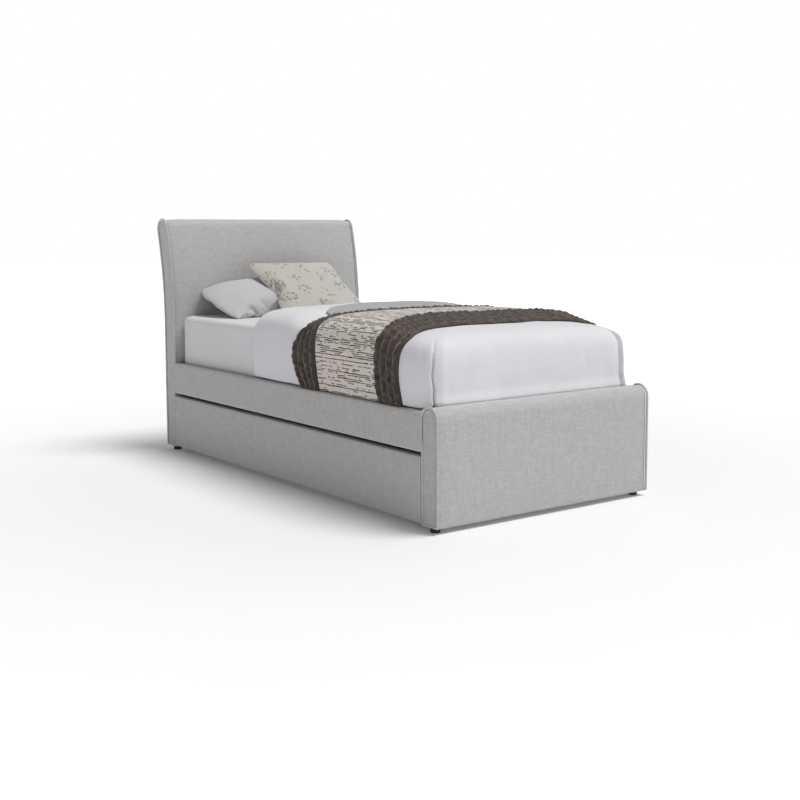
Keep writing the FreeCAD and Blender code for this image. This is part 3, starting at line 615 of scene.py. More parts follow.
def gathers(length, gap, side, depth, reach, seed):
    """Small puckers that run in from a seam: deep beside it and gone at a reach."""
    spots = np.stack([length, np.full_like(length, 3.1 * side), np.zeros_like(length)], axis=-1)
    wave = cloud(spots, 9 * MM, seed) + 0.6 * cloud(spots, 21 * MM, seed + 1)
    fade = reach * (1 + 0.5 * cloud(spots, 40 * MM, seed + 2))
    return depth * wave * np.exp(-gap / fade)


def ends_fine(low, high, step, fine, count):
    """Positions from low to high that are finer near both ends."""
    close = low + fine * np.arange(count)
    middle = np.arange(low + fine * count, high - fine * count, step)
    return np.concatenate([close, middle, (high + low - close)[::-1]])


def upholstered_board(name, node, crown, free_above, seed):
    """A padded board wrapped in one cloth, with puckers along its two piped ends."""
    look = settings().upholstery
    outline, outward, length = board_outline(node)
    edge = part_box(node)[1].x - 0.2 * MM
    stations = ends_fine(-edge, edge, 12 * MM, 3 * MM, 12)
    x = stations[:, None] * np.ones(len(outline))
    s = np.ones(len(stations))[:, None] * length
    gap = edge - np.abs(x)
    side = np.sign(x)
    full = crown * (1 - np.exp(-gap / (45 * MM)))
    rise = ramp(outline[:, 1], free_above, free_above + 70 * MM)
    push = full * rise + gathers(s, gap, side, look.pucker, 16 * MM, seed) * ramp(gap, -MM, 2 * MM)
    spots = np.stack([x, s, 0 * x], axis=-1)
    push = push + 0.5 * MM * cloud(spots, 130 * MM, seed + 7) - 4.5 * MM * np.exp(-gap / (8 * MM))
    push = np.where(outward[:, 1] < -0.9, 0.0, push)
    grid = np.stack([x, outline[:, 0] + outward[:, 0] * push, outline[:, 1] + outward[:, 1] * push], axis=-1)
    cover = wrapped(name, grid, LOOKS["upholstery_linen"], "upholstery_linen")
    close_ends(cover)
    return cover


def close_ends(piece):
    """Close the open rims of a tube with flat faces."""
    work = bmesh.new()
    work.from_mesh(piece.data)
    rim = [edge for edge in work.edges if edge.is_boundary]
    caps = bmesh.ops.holes_fill(work, edges=rim, sides=0)["faces"]
    for face in caps:
        face.smooth = False
    bmesh.ops.triangulate(work, faces=caps)
    bmesh.ops.recalc_face_normals(work, faces=work.faces)
    work.to_mesh(piece.data)
    work.free()


def end_panels(name, node, seed):
    """The two crowned cloth panels that close a board's ends, inside their piping."""
    line, upward = board_middle(node)
    front = np.stack([-upward[:, 1], upward[:, 0]], axis=1)
    inset = 4.5 * MM             # from the board's outline, where the piping begins
    half = BOARD_THICKNESS / 2 - inset
    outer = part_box(node.replace("_cover", "_gussets"))[1].x - 1 * MM
    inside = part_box("footboard_cover")[1].x - 1 * MM
    angle = np.linspace(0, math.pi / 2, 14)[1:, None]
    centre = np.concatenate([line, line[-1] + upward[-1] * half * np.sin(angle)])
    across = np.concatenate([np.full((len(line), 1), half), half * np.cos(angle)])
    side_way = np.concatenate([front, np.repeat(front[-1:], len(angle), axis=0)])
    centre[0, 1] += inset
    t = np.linspace(-1, 1, 17)
    plan = centre[:, None, :] + side_way[:, None, :] * (across[:, None, :] * t[None, :, None])
    depth = across * np.sqrt(np.clip(1 - t[None, :] ** 4, 0, 1)) / half
    parts = []
    rows, columns = depth.shape
    for sign in (-1, 1):
        inner = np.full_like(depth, sign * inside)
        spots = np.concatenate([np.zeros((rows, columns, 1)), plan], axis=-1)
        face = sign * (outer - 1.6 * MM + 2.4 * MM * depth + 0.4 * MM * cloud(spots, 35 * MM, seed))
        face = np.where(depth < 1e-6, inner, face)
        for x, flip in ((face, sign < 0), (inner, sign > 0)):
            grid = np.concatenate([x[:, :, None], plan], axis=-1)
            parts.append((grid, grid_faces(rows, columns, flip=flip), None))
        foot = np.stack([np.concatenate([face[0][:, None], plan[0]], axis=1),
                         np.concatenate([inner[0][:, None], plan[0]], axis=1)])
        parts.append((foot, grid_faces(2, columns), None))
    return build(name, parts, LOOKS["upholstery_linen"], "upholstery_linen")


# ---- rails and panel -----------------------------------------------------------------------
def rounded_outline(low, high, radius, step):
    """A closed rounded rectangle (a, b), counter-clockwise from its lower left, and its outward directions."""
    points, outward = [], []
    corners = [(high[0] - radius, low[1] + radius, -90), (high[0] - radius, high[1] - radius, 0),
               (low[0] + radius, high[1] - radius, 90), (low[0] + radius, low[1] + radius, 180)]
    for a, b, start in corners:
        for turn in np.radians(np.linspace(start, start + 90, 7)):
            way = np.array([math.cos(turn), math.sin(turn)])
            points.append(np.array([a, b]) + radius * way)
            outward.append(way)
    line, ways = [], []
    for k in range(len(points)):
        after = (k + 1) % len(points)
        span = np.linalg.norm(points[after] - points[k])
        count = max(1, int(span / step))
        for part in range(count):
            line.append(points[k] + (points[after] - points[k]) * part / count)
            ways.append(outward[k] + (outward[after] - outward[k]) * part / count)
    return np.array(line), unit(np.array(ways))


def upholstered_rail(name, nodes, sign, radius, crown, seed):
    """A board wrapped in thin foam and cloth, fuller on its outer face, with puckers at its ends."""
    look = settings().upholstery
    low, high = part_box(nodes[0])
    outline, outward = rounded_outline((low.x, low.z), (high.x, high.z), radius, 8 * MM)
    length = np.concatenate([[0], np.cumsum(np.linalg.norm(np.diff(outline, axis=0), axis=1))])
    # the cloth stands a little clear of the board's own ends
    stations = ends_fine(low.y - 1.2 * MM, high.y + 1.2 * MM, 14 * MM, 3 * MM, 10)
    y = stations[:, None] * np.ones(len(outline))
    s = np.ones(len(stations))[:, None] * length
    gap = np.minimum(y - stations[0], stations[-1] - y)
    middle = (outline[:, 1] - low.z) / (high.z - low.z) * 2 - 1
    outer = ramp(outward[:, 0] * sign, 0.5, 1.0) * np.clip(1 - middle ** 4, 0, 1)
    push = crown * outer * (1 - np.exp(-gap / (30 * MM)))
    spots = np.stack([s, y, 0 * y], axis=-1)
    push = push + 0.6 * MM * cloud(spots, 150 * MM, seed) * outer
    push = push + gathers(s, gap, 1, look.pucker * 0.6, 12 * MM, seed) * outer
    push = push - 1.0 * MM * np.exp(-gap / (3 * MM))
    grid = np.stack([outline[:, 0] + outward[:, 0] * push, y, outline[:, 1] + outward[:, 1] * push], axis=-1)
    cover = wrapped(name, grid, LOOKS["upholstery_linen"], "upholstery_linen")
    close_ends(cover)
    return cover


# ---- pads and bedding ----------------------------------------------------------------------
def plan_curve(half_x, foot, head, corner, step, open_head):
    """A plan outline from the right, round the foot, to the left: points, the spine point each one faces, and
    its outward direction. With open_head it stops at the head; otherwise it goes on round the head."""
    line, ways = [], []

    def run(a, b, way):
        count = max(1, int(np.linalg.norm(np.subtract(b, a)) / step))
        for part in range(count):
            line.append(np.add(a, np.subtract(b, a) * part / count))
            ways.append(way)

    def turn(a, b, start):
        count = max(4, int(corner * math.pi / 2 / min(step, 5 * MM)))
        for part in range(count):
            angle = math.radians(start - 90 * part / count)
            way = np.array([math.cos(angle), math.sin(angle)])
            line.append(np.array([a, b]) + corner * way)
            ways.append(way)

    side = half_x - corner
    if not open_head:
        run((half_x, (foot + head) / 2), (half_x, foot + corner), np.array([1.0, 0.0]))
    else:
        run((half_x, head), (half_x, foot + corner), np.array([1.0, 0.0]))
    turn(side, foot + corner, 0)
    run((side, foot), (-side, foot), np.array([0.0, -1.0]))
    turn(-side, foot + corner, -90)
    if open_head:
        run((-half_x, foot + corner), (-half_x, head), np.array([-1.0, 0.0]))
        line.append(np.array([-half_x, head]))
        ways.append(np.array([-1.0, 0.0]))
    else:
        run((-half_x, foot + corner), (-half_x, head - corner), np.array([-1.0, 0.0]))
        turn(-side, head - corner, 180)
        run((-side, head), (side, head), np.array([0.0, 1.0]))
        turn(side, head - corner, 90)
        run((half_x, head - corner), (half_x, (foot + head) / 2), np.array([1.0, 0.0]))
    line, ways = np.array(line), np.array(ways)
    far = head if open_head else head - half_x
    spine = np.stack([np.zeros(len(line)), np.clip(line[:, 1], foot + half_x, far)], axis=1)
    return line, spine, ways


def pad(low, high, corner, edge, step):
    """A closed pad in a box, rounded in plan and in section: a grid of points and its outward directions."""
    reach, height = (high.x - low.x) / 2, high.z - low.z
    line, spine, ways = plan_curve(reach, low.y, high.y, corner, step, False)
    spine[:, 1] = np.round(spine[:, 1] / (2 * step)) * 2 * step
    angle = np.radians(np.linspace(-90, 90, 19))

    def arc(centre, angles):
        return [(reach - edge + edge * math.cos(a), centre + edge * math.sin(a), math.cos(a), math.sin(a))
                for a in angles]

    flat = np.linspace(0, reach - edge, int((reach - edge) / step))[:-1]
    wall = np.linspace(edge, height - edge, max(3, int(height / step)))
    profile = [(d, 0.0, 0.0, -1.0) for d in flat] + arc(edge, angle[:9]) + [(reach, z, 1.0, 0.0) for z in wall]
    profile = np.array(profile + arc(height - edge, angle[10:]) + [(d, height, 0.0, 1.0) for d in flat[::-1]])
    across, up, out, rise = (profile[:, k][:, None, None] for k in range(4))
    plan = spine + (line - spine) * (across / reach)
    ones = np.ones((len(profile), len(line), 1))
    grid = np.concatenate([plan, low.z + up * ones], axis=-1)
    grid[..., 0] += (low.x + high.x) / 2
    return grid, np.concatenate([ways[None] * out, ones * rise], axis=-1)


THROW_PRESS = (-0.165, 0.08, 32 * MM)     # where the throw's head edge presses the duvet: place, reach, depth
FOOT_FALL = (0.64, 0.84, 34 * MM)         # from where to where the duvet falls towards the foot, and how far


def duvet_height(x, y, look):
    """Height of the duvet's upper surface before its edges round down: full at the head, pressed where the
    throw's head edge lies, and falling under its foot edge."""
    place, reach, depth = THROW_PRESS
    pressed = depth * np.exp(-((y - place) / reach) ** 2)
    middle = look.duvet_crest - pressed - FOOT_FALL[2] * ramp(-y, *FOOT_FALL[:2])
    return middle - look.duvet_fall * np.abs(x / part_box("duvet")[1].x) ** 2.2


def duvet_grids(step, fine_step=2 * MM, thinning=4, pleat_reach=46 * MM):
    """The duvet's outer and inner surfaces as two grids that meet along every edge. Its plan is fine beside the
    pleats and thinned elsewhere."""
    look = settings().bedding
    low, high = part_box("duvet")
    high.y -= look.edge_back
    sheet_low, sheet_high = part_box("fitted_sheet")
    fine = plan_curve(high.x, low.y, high.y, 75 * MM, fine_step, True)
    creases = [np.array([-look.left_pleat, low.y]), np.array([look.right_pleat, low.y])]
    spots = creases + [spot * [-1, 1] for spot in creases]
    near = np.min([np.linalg.norm(fine[0] - spot, axis=1) for spot in spots], axis=0) < pleat_reach
    order = np.arange(len(near))
    kept = near | (np.minimum(order, order[::-1]) % thinning == 0)
    line, spine, ways = (part[kept] for part in fine)
    theta = np.linspace(0, math.pi / 2, 400)

    def section(power, drop):
        f, h = np.cos(theta) ** (2 / power), np.sin(theta) ** (2 / power)
        f[-1] = 0.0
        curve = resampled(np.stack([f * high.x, h * drop], axis=1), step)
        return curve[:, 0] / high.x, curve[:, 1] / drop

    f, h = section(look.boxiness, 0.28)
    toward_foot = ramp(-ways[:, 1], 0.3, 0.9)
    hem = low.z + (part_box("footboard_cover")[1].z - 8 * MM - low.z) * toward_foot
    plan = spine + (line - spine) * f[:, None, None]
    top = duvet_height(plan[..., 0], plan[..., 1], look)
    z = hem + (top - hem) * h[:, None]
    outer = np.concatenate([plan, z[..., None]], axis=-1)
    lean = h[:, None, None] ** 5
    direction = unit(np.concatenate([ways[None] * (1 - lean), np.ones((len(f), len(line), 1)) * lean], axis=-1))

    g, k = section(24.0, 0.22)
    at = np.linspace(0, 1, len(f))
    g, k = (np.interp(at, np.linspace(0, 1, len(g)), values) for values in (g, k))
    clear = 1.2 * MM
    inner_reach, inner_foot = sheet_high.x + clear, sheet_low.y - clear
    inner_line = np.stack([line[:, 0] * inner_reach / high.x,
                           high.y - (high.y - line[:, 1]) * (high.y - inner_foot) / (high.y - low.y)], axis=1)
    inner_spine = np.stack([spine[:, 0], np.maximum(spine[:, 1], inner_foot + inner_reach)], axis=1)
    inner_plan = inner_spine + (inner_line - inner_spine) * g[:, None, None]
    inner_z = hem + (sheet_high.z + clear - hem) * k[:, None]
    inner = np.concatenate([inner_plan, inner_z[..., None]], axis=-1)

    # pleats at the two foot corners: the side's cloth laps over the foot end and stops at a lip
    length = np.concatenate([[0], np.cumsum(np.linalg.norm(np.diff(line, axis=0), axis=1))])
    push = np.zeros(outer.shape[:2])
    for sign, crease in zip((-1, 1), creases):
        spot = length[np.argmin(np.linalg.norm(line - crease, axis=1))]
        level = outer * [0, 0, 1]
        wander = 3 * MM * cloud(level, 60 * MM, 17 + sign) + 1.5 * MM * cloud(level, 22 * MM, 27)
        along = (length - spot)[None, :] * sign + wander
        lip = 8 * MM * ramp(along, -44 * MM, -5 * MM) * (1 - ramp(along, -2 * MM, 1 * MM))
        slot = -16 * MM * ramp(along, -2 * MM, 1 * MM) * (1 - ramp(along, 3 * MM, 11 * MM))
        valley = -4 * MM * ramp(along, -2 * MM, 1 * MM) * (1 - ramp(along, 8 * MM, 44 * MM))
        push = push + (lip + slot + valley) * (1 - ramp(h, 0.80, 0.95))[:, None]
    push = push + 3.2 * MM * cloud(outer, 210 * MM, 3) + 1.6 * MM * cloud(outer, 85 * MM, 4)
    hang = (1 - ramp(h, 0.75, 1.0))[:, None]
    around = np.stack([np.broadcast_to(length, push.shape), 0.25 * outer[..., 2], 0 * push], axis=-1)
    push = push + 1.8 * MM * cloud(around, 55 * MM, 9) * hang
    spread = 12 * MM * (1 - ramp(outer[..., 2] - hem, 0, 55 * MM)) * toward_foot
    outer[..., 0] *= np.where(outer[..., 0] > 0, look.right_share, 1.0)
    room = np.sum((outer - inner) * direction, axis=-1)
    push = np.maximum(push, np.minimum(0, 3 * MM - room))
    outer = outer + direction * push[..., None]
    outer[..., 1] -= spread

    rise = outer[..., 2] - hem[None, :]
    hem_round = np.sqrt(np.clip(1 - (1 - np.clip(rise / (11 * MM), 0, 1)) ** 2, 0, 1))
    hem_round = np.where(h[:, None] > 0.5, 1.0, hem_round)
    edge = np.clip((high.y - outer[..., 1]) / (48 * MM), 0, 1)
    head_round = np.sqrt(np.clip(1 - (1 - edge) ** 2, 0, 1))
    full = np.minimum(hem_round, head_round)
    full[0] = 0
    full[:, 0] = 0
    full[:, -1] = 0
    outer = inner + (outer - inner) * full[..., None]
    return outer, inner


def make_duvet():
    outer, inner = duvet_grids(8.5 * MM)
    piece = two_sided("duvet_cover", outer, inner, LOOKS["white_cotton"], "white_cotton")
    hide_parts("duvet")
    return piece


def over_duvet(tree, foot, head, side_bow, shoulder, step_a, step_b):
    """Points that lie on the duvet across the bed between two edges, from the left hem to the right one.
    side_bow and shoulder move the foot and head edges along the bed halfway down each side and at its top."""
    look = settings().bedding
    low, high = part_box("throw_centre")
    theta = np.linspace(0, math.pi, 900)
    out = 30 * MM                # how far outside the throw's box the rays start
    hem = 14 * MM                # the duvet curls in below this height, and the throw hangs straight
    x = -(high.x + out) * np.sign(np.cos(theta)) * np.abs(np.cos(theta)) ** (1 / 3)
    z = low.z + 1 * MM + (high.z + out - low.z) * np.abs(np.sin(theta)) ** (1 / 3)
    curve = resampled(np.stack([x, z], axis=1), step_a)
    tangent = unit(np.gradient(curve, axis=0))
    inward = np.stack([tangent[:, 1], -tangent[:, 0]], axis=1)
    columns = len(curve)
    rows = max(4, int((head - foot) / step_b)) + 1
    t = np.clip((curve[:, 1] - low.z) / 0.24, 0, 1)
    sag = np.sin(math.pi * t) * (t < 1)
    slip = -look.side_slip * (1 - t)
    crest = np.abs(curve[:, 0]) / high.x + curve[:, 1] / high.z
    arc = np.arange(columns) * step_a
    half = columns // 2
    shoulders = arc[np.argmax(crest[:half])], arc[half + np.argmax(crest[half:])]
    away = np.minimum(*(np.abs(arc - at) for at in shoulders))
    turn_over = np.exp(-(away / (130 * MM)) ** 2)
    hits = np.zeros((rows, columns, 3))
    blur = int(35 * MM / step_a)
    window = np.ones(2 * blur + 1) / (2 * blur + 1)
    for i, share in enumerate(np.linspace(0, 1, rows)):
        bow = slip + sag * (side_bow[0] + (side_bow[1] - side_bow[0]) * share)
        bow = bow + turn_over * (shoulder[0] + (shoulder[1] - shoulder[0]) * share)
        bow = np.convolve(np.pad(bow, blur, mode="edge"), window, "valid")
        for j in range(columns):
            y = foot + (head - foot) * share + bow[j]
            origin = Vector((curve[j, 0], y, max(curve[j, 1], low.z + hem)))
            way = Vector((inward[j, 0], 0, inward[j, 1])).normalized()
            hits[i, j] = tree.ray_cast(origin, way, 0.2)[0] or origin + way * out
            if curve[j, 1] < low.z + hem:
                hits[i, j, 2] = curve[j, 1]
    for axis in (0, 1):
        lines = np.moveaxis(hits, axis, 0)
        for turn in range(3):
            lines[1:-1] = (lines[:-2] + 2 * lines[1:-1] + lines[2:]) / 4
    normal = grid_normals(hits)
    if normal[rows // 2, columns // 2, 2] < 0:
        normal = -normal
    lengths = np.cumsum(np.linalg.norm(np.diff(hits, axis=1, prepend=hits[:, :1]), axis=2), axis=1)
    widths = np.cumsum(np.linalg.norm(np.diff(hits, axis=0, prepend=hits[:1]), axis=2), axis=0)
    return hits, normal, lengths, widths


def layered(hits, normal, clear, thickness):
    """Outer and inner grids of a cloth that lies a little clear of what is under it, its rim closed."""
    under = hits + normal * clear
    over = hits + normal * (clear + thickness[..., None])
    over[0], over[-1], over[:, 0], over[:, -1] = under[0], under[-1], under[:, 0], under[:, -1]
    return over, under


def make_band(name, tree, foot, head, bow, shoulder, seed):
    """A quilted band of the throw: wavy channels that run across the bed, gathered along their seams."""
    look = settings().bedding
    hits, normal, a, b = over_duvet(tree, foot, head, bow, shoulder, 4 * MM, 3 * MM)
    spots = np.stack([a, b, 0 * a], axis=-1)
    share = b / b[-1:]
    waves = 2 * math.pi * a / look.rib_wave
    sway = np.sin(waves + seed) * np.sin(math.pi * look.ribs * share)
    drift = cloud(spots, 60 * MM, seed)
    channel = np.abs(np.sin(math.pi * look.ribs * (share + 0.030 * sway + 0.018 * drift)))
    gather = cloud(spots * [1, 0.25, 1], 7 * MM, seed + 1)
    swing = 0.12 * np.sin(2 * waves + 2 * seed + 3 * np.floor(look.ribs * share))
    full = 0.86 + 0.2 * cloud(spots, 26 * MM, seed + 2) + swing
    height = look.band_loft * (channel ** 0.6 * full + 0.10 * gather * (1.2 - channel))
    rim = np.minimum(share, 1 - share) * (head - foot)
    height = height * (0.25 + 0.75 * ramp(rim, -MM, 9 * MM)) + 1.2 * MM
    over, under = layered(hits, normal, 1.2 * MM, height)
    uv = np.stack([b, a], axis=-1)
    piece = two_sided(name, over, under, LOOKS["throw_brown"], "throw_brown", uv)
    rows = [round((len(over) - 1) * k / look.ribs) for k in range(1, look.ribs)]
    return piece, [over[row, 4:-4] + normal[row, 4:-4] * 0.4 * MM for row in rows]


def make_throw(duvet):
    """The throw's two quilted bands, the cloth between them, and their stitches. Returns the duvet's search tree."""
    look = settings().bedding
    tree = tree_of(duvet)
    foot_low, foot_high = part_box("throw_foot_band")
    centre_low, centre_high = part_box("throw_centre")
    head_low, head_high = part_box("throw_head_band")
    lap = 5 * MM
    foot_band, foot_seams = make_band("throw_foot_quilting", tree, foot_low.y, foot_high.y,
                                      (0.25 * look.side_bow, 0.15 * look.side_bow),
                                      (-look.shoulder_slip, -0.8 * look.shoulder_slip), 21)
    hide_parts("throw_foot_band")
    head_band, head_seams = make_band("throw_head_quilting", tree, head_low.y, head_high.y - look.head_back,
                                      (0.15 * look.side_bow, 1.6 * look.side_bow),
                                      (-0.4 * look.shoulder_slip, -0.6 * look.shoulder_slip), 31)
    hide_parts("throw_head_band")
    hits, normal, a, b = over_duvet(tree, centre_low.y - lap, centre_high.y + lap,
                                    (0.15 * look.side_bow, 0.15 * look.side_bow),
                                    (-0.8 * look.shoulder_slip, -0.4 * look.shoulder_slip), 6 * MM, 7 * MM)
    thickness = 2.2 * MM + 0.8 * MM * (1 + cloud(np.stack([a, b, 0 * a], axis=-1), 50 * MM, 12))
    over, under = layered(hits, normal, 1.0 * MM, thickness)
    uv = np.stack([b, a], axis=-1)
    centre = two_sided("throw_middle_cloth", over, under, LOOKS["throw_ivory"], "throw_ivory", uv)
    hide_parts("throw_centre")
    values = {"Pitch": 6 * MM, "Length": 4.4 * MM, "Width": 0.9 * MM}
    grown("throw_channel_stitches", stitch_tree(), foot_seams + head_seams, values, LOOKS["brown_thread"],
          "throw_brown")
    return tree


def make_cuff(tree):
    """The turned-back grey cloth at the throw's head edge: narrow at the left and wide towards the right."""
    low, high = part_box("duvet_cuff")
    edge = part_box("throw_head_band")[1].y - settings().bedding.head_back
    rows, columns = 30, 120
    hits = np.zeros((rows, columns, 3))
    for j, share in enumerate(np.linspace(0, 1, columns)):
        x = low.x + 35 * MM + (high.x - 77 * MM - low.x) * share
        width = (high.y - edge) * math.sin(math.pi * min(1.0, share * 0.93 + 0.04)) ** 0.7
        for i, part in enumerate(np.linspace(0, 1, rows)):
            y = edge - 12 * MM + (width + 12 * MM) * part
            hits[i, j] = tree.ray_cast(Vector((x, y, 1.0)), Vector((0, 0, -1)))[0] or (x, y, low.z)
    normal = grid_normals(hits)
    normal = normal * np.sign(normal[..., 2:3])
    share = np.linspace(0, 1, rows)[:, None] * np.ones(columns)
    fold = np.sqrt(np.clip(1 - (1 - np.clip((1 - share) * 9, 0, 1)) ** 2, 0, 1))
    thickness = 6 * MM * fold + 1.0 * MM * (1 + cloud(hits, 60 * MM, 41))
    over, under = layered(hits, normal, 1.0 * MM, thickness)
    piece = two_sided("turned_back_blanket", over, under, LOOKS["grey_cotton"], "grey_cotton")
    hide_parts("duvet_cuff")
    return piece


MATTRESS_CORNER = 55 * MM
MATTRESS_EDGE = 26 * MM


def make_mattress():
    """The mattress and the fitted sheet over it, which is creased a little at its corners."""
    low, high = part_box("main_mattress")
    grid, direction = pad(low, high, MATTRESS_CORNER, MATTRESS_EDGE, 16 * MM)
    grid = grid + direction * (0.8 * MM * cloud(grid, 120 * MM, 5) - 1.0 * MM)[..., None]
    core = wrapped("main_mattress_body", grid, LOOKS["mattress_ticking"], "mattress_ticking")
    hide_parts("main_mattress")
    low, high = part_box("fitted_sheet")
    grid, direction = pad(low, high, MATTRESS_CORNER, MATTRESS_EDGE, 11 * MM)
    hem = int(np.argmax(np.linalg.norm(direction[:, 0, :2], axis=1) > 0.3)) - 2
    grid, direction = grid[hem:], direction[hem:]
    from_side = np.abs(grid[..., 0]) - high.x + 20 * MM
    from_end = np.minimum(high.y - grid[..., 1], grid[..., 1] - low.y) - 20 * MM
    corner = np.exp(-(from_side ** 2 + from_end ** 2) / (70 * MM) ** 2)
    upright = np.linalg.norm(direction[..., :2], axis=-1)
    around = grid * [1, 1, 0.2]
    push = 1.0 * MM * cloud(grid, 160 * MM, 6) + 0.5 * MM * cloud(around, 24 * MM, 8) * upright
    push = push + 1.5 * MM * corner * cloud(around, 18 * MM, 9) * upright
    grid = grid + direction * np.clip(push - 0.3 * MM, -0.7 * MM, 3 * MM)[..., None]
    sheet = wrapped("fitted_sheet_cloth", grid, LOOKS["sheet_cotton"], "white_cotton")
    wall = sheet.modifiers.new("cloth_thickness", "SOLIDIFY")
    wall.thickness = 0.6 * MM
    wall.offset = -1.0
    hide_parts("fitted_sheet")


def slab(size, edge, columns, rows, waist, cut):
    """A thin closed slip of two equal panels, narrower at its middle by a waist and at its corners by a cut."""
    a, b = np.meshgrid(np.linspace(-1, 1, columns), np.linspace(-1, 1, rows))
    pull = 1 - cut * (a * b) ** 4
    x = a * size[0] / 2 * (1 - waist * (1 - b * b)) * pull
    y = b * size[1] / 2 * (1 - 0.5 * waist * (1 - a * a)) * pull
    lens = edge * ((1 - a ** 2) * (1 - b ** 2)) ** 0.5
    return np.stack([x, y, lens], axis=-1), np.stack([x, y, -lens], axis=-1)


def stuffed(size, loft, columns, rows, waist, cut):
    """A pillow form in its own frame, blown up from two flat panels. Returns the top and bottom grids and uv."""
    top, bottom = slab(size, 0.34 * loft, columns, rows, waist, cut)
    count = rows * columns
    faces = np.concatenate([grid_faces(rows, columns), grid_faces(rows, columns, start=count, flip=True)])
    # the bottom's rim points are the top's, so the panels are sewn together
    rim = np.ones((rows, columns), bool)
    rim[1:-1, 1:-1] = False
    flat_rim = np.nonzero(rim.reshape(-1))[0]
    lookup = np.arange(2 * count)
    lookup[count + flat_rim] = flat_rim
    used, inverse = np.unique(lookup[faces], return_inverse=True)
    full = np.concatenate([top.reshape(-1, 3), bottom.reshape(-1, 3)])
    mesh = bpy.data.meshes.new("slip")
    mesh.from_pydata(full[used].tolist(), [], inverse.reshape(-1, 4).tolist())
    full[used] = swell(mesh, loft)
    full[count + flat_rim] = full[flat_rim]
    bpy.data.meshes.remove(mesh)
    full *= np.array([*size, loft]) / np.ptp(full, axis=0)
    return full[:count].reshape(rows, columns, 3), full[count:].reshape(rows, columns, 3), top[..., :2].copy()


def leaned(grid, centre, tilt):
    """A form in its own frame, leaned back about the bed's width and moved to a centre (x, y, z)."""
    cosine, sine = math.cos(tilt), math.sin(tilt)
    return np.stack([centre[0] + grid[..., 0], centre[1] + grid[..., 1] * cosine - grid[..., 2] * sine,
                     centre[2] + grid[..., 1] * sine + grid[..., 2] * cosine], axis=-1)


def stuffed_cover(name, seam_name, top, bottom, uv, look, slot, seam_radius):
    """The cover of a stuffed form, with a thin corded seam round it."""
    piece = two_sided(name, top, bottom, LOOKS[look], slot, uv, merge=0.2 * MM)
    rim = np.concatenate([top[0, :-1], top[:-1, -1], top[-1, :0:-1], top[:0:-1, 0]])
    cord(seam_name, [rim], seam_radius, 8, look, slot)
    return piece


def make_cushion():
    """The square scatter cushion, leaned on the pillow."""
    low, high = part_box("cushion")
    deep, tall = high.y - low.y, high.z - low.z
    size = math.hypot(tall, deep)
    form = stuffed((size * 1.07, size * 1.06), settings().bedding.cushion_loft, 72, 72, -0.04, 0.05)
    centre = ((low.x + high.x) / 2 + 20 * MM, (low.y + high.y) / 2, (low.z + high.z) / 2)
    top, bottom = (leaned(grid, centre, math.atan2(tall, deep)) for grid in form[:2])
    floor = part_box("fitted_sheet")[1].z + 2 * MM
    for grid in (top, bottom):
        grid[..., 2] = np.maximum(grid[..., 2], floor)
    piece = stuffed_cover("cushion_cover", "cushion_edge_seam", top, bottom, form[2], "cushion_print",
                          "cushion_print", 1.3 * MM)
    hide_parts("cushion")
    return piece


PILLOW_HEIGHT = 1.02 * math.hypot(165 * MM, 330 * MM)
PILLOW_TILT = math.radians(23)


def make_pillow(cushion):
    """The sleeping pillow, leaned on the headboard and pressed down under the cushion."""
    look = settings().bedding
    low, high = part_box("pillow")
    width, height = high.x - low.x, PILLOW_HEIGHT
    top, bottom, uv = stuffed((width * 0.97, height), look.pillow_loft, 96, 60, -0.12, 0.0)
    centre = ((low.x + high.x) / 2 + 12 * MM, (low.y + high.y) / 2 + 2 * MM, low.z + 74 * MM)
    above = tree_of(cushion)
    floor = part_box("fitted_sheet")[1].z + 1.5 * MM
    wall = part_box("headboard_cover")[0].y - 2.5 * MM
    shaped = []
    for grid in (top, bottom):
        share = grid[..., 0] / (width / 2)
        back = ramp(grid[..., 1], -20 * MM, height / 2)
        placed = leaned(grid, centre, PILLOW_TILT)
        placed[..., 2] -= look.pillow_droop * np.abs(share) ** 3 * back
        placed[..., 1] = np.minimum(placed[..., 1], wall)
        placed[..., 2] = np.maximum(placed[..., 2], floor)
        for point in placed.reshape(-1, 3):
            spot = above.ray_cast(Vector((point[0], point[1], low.z - 0.1)), Vector((0, 0, 1)))[0]
            if spot is not None and point[2] > spot.z - 4 * MM:
                point[2] = max(floor, spot.z - 4 * MM)
        shaped.append(placed)
    top, bottom = shaped
    top[..., 2] = np.maximum(top[..., 2], bottom[..., 2])
    # the case's finish is the white cotton darkened as painted shade
    piece = stuffed_cover("pillow_case", "pillow_edge_seam", top, bottom, uv, "pillow_cotton_painted_shade", "white_cotton",
                          1.1 * MM)
    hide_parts("pillow")


TUFT_ROWS = 8
TUFT_COLUMNS = 4


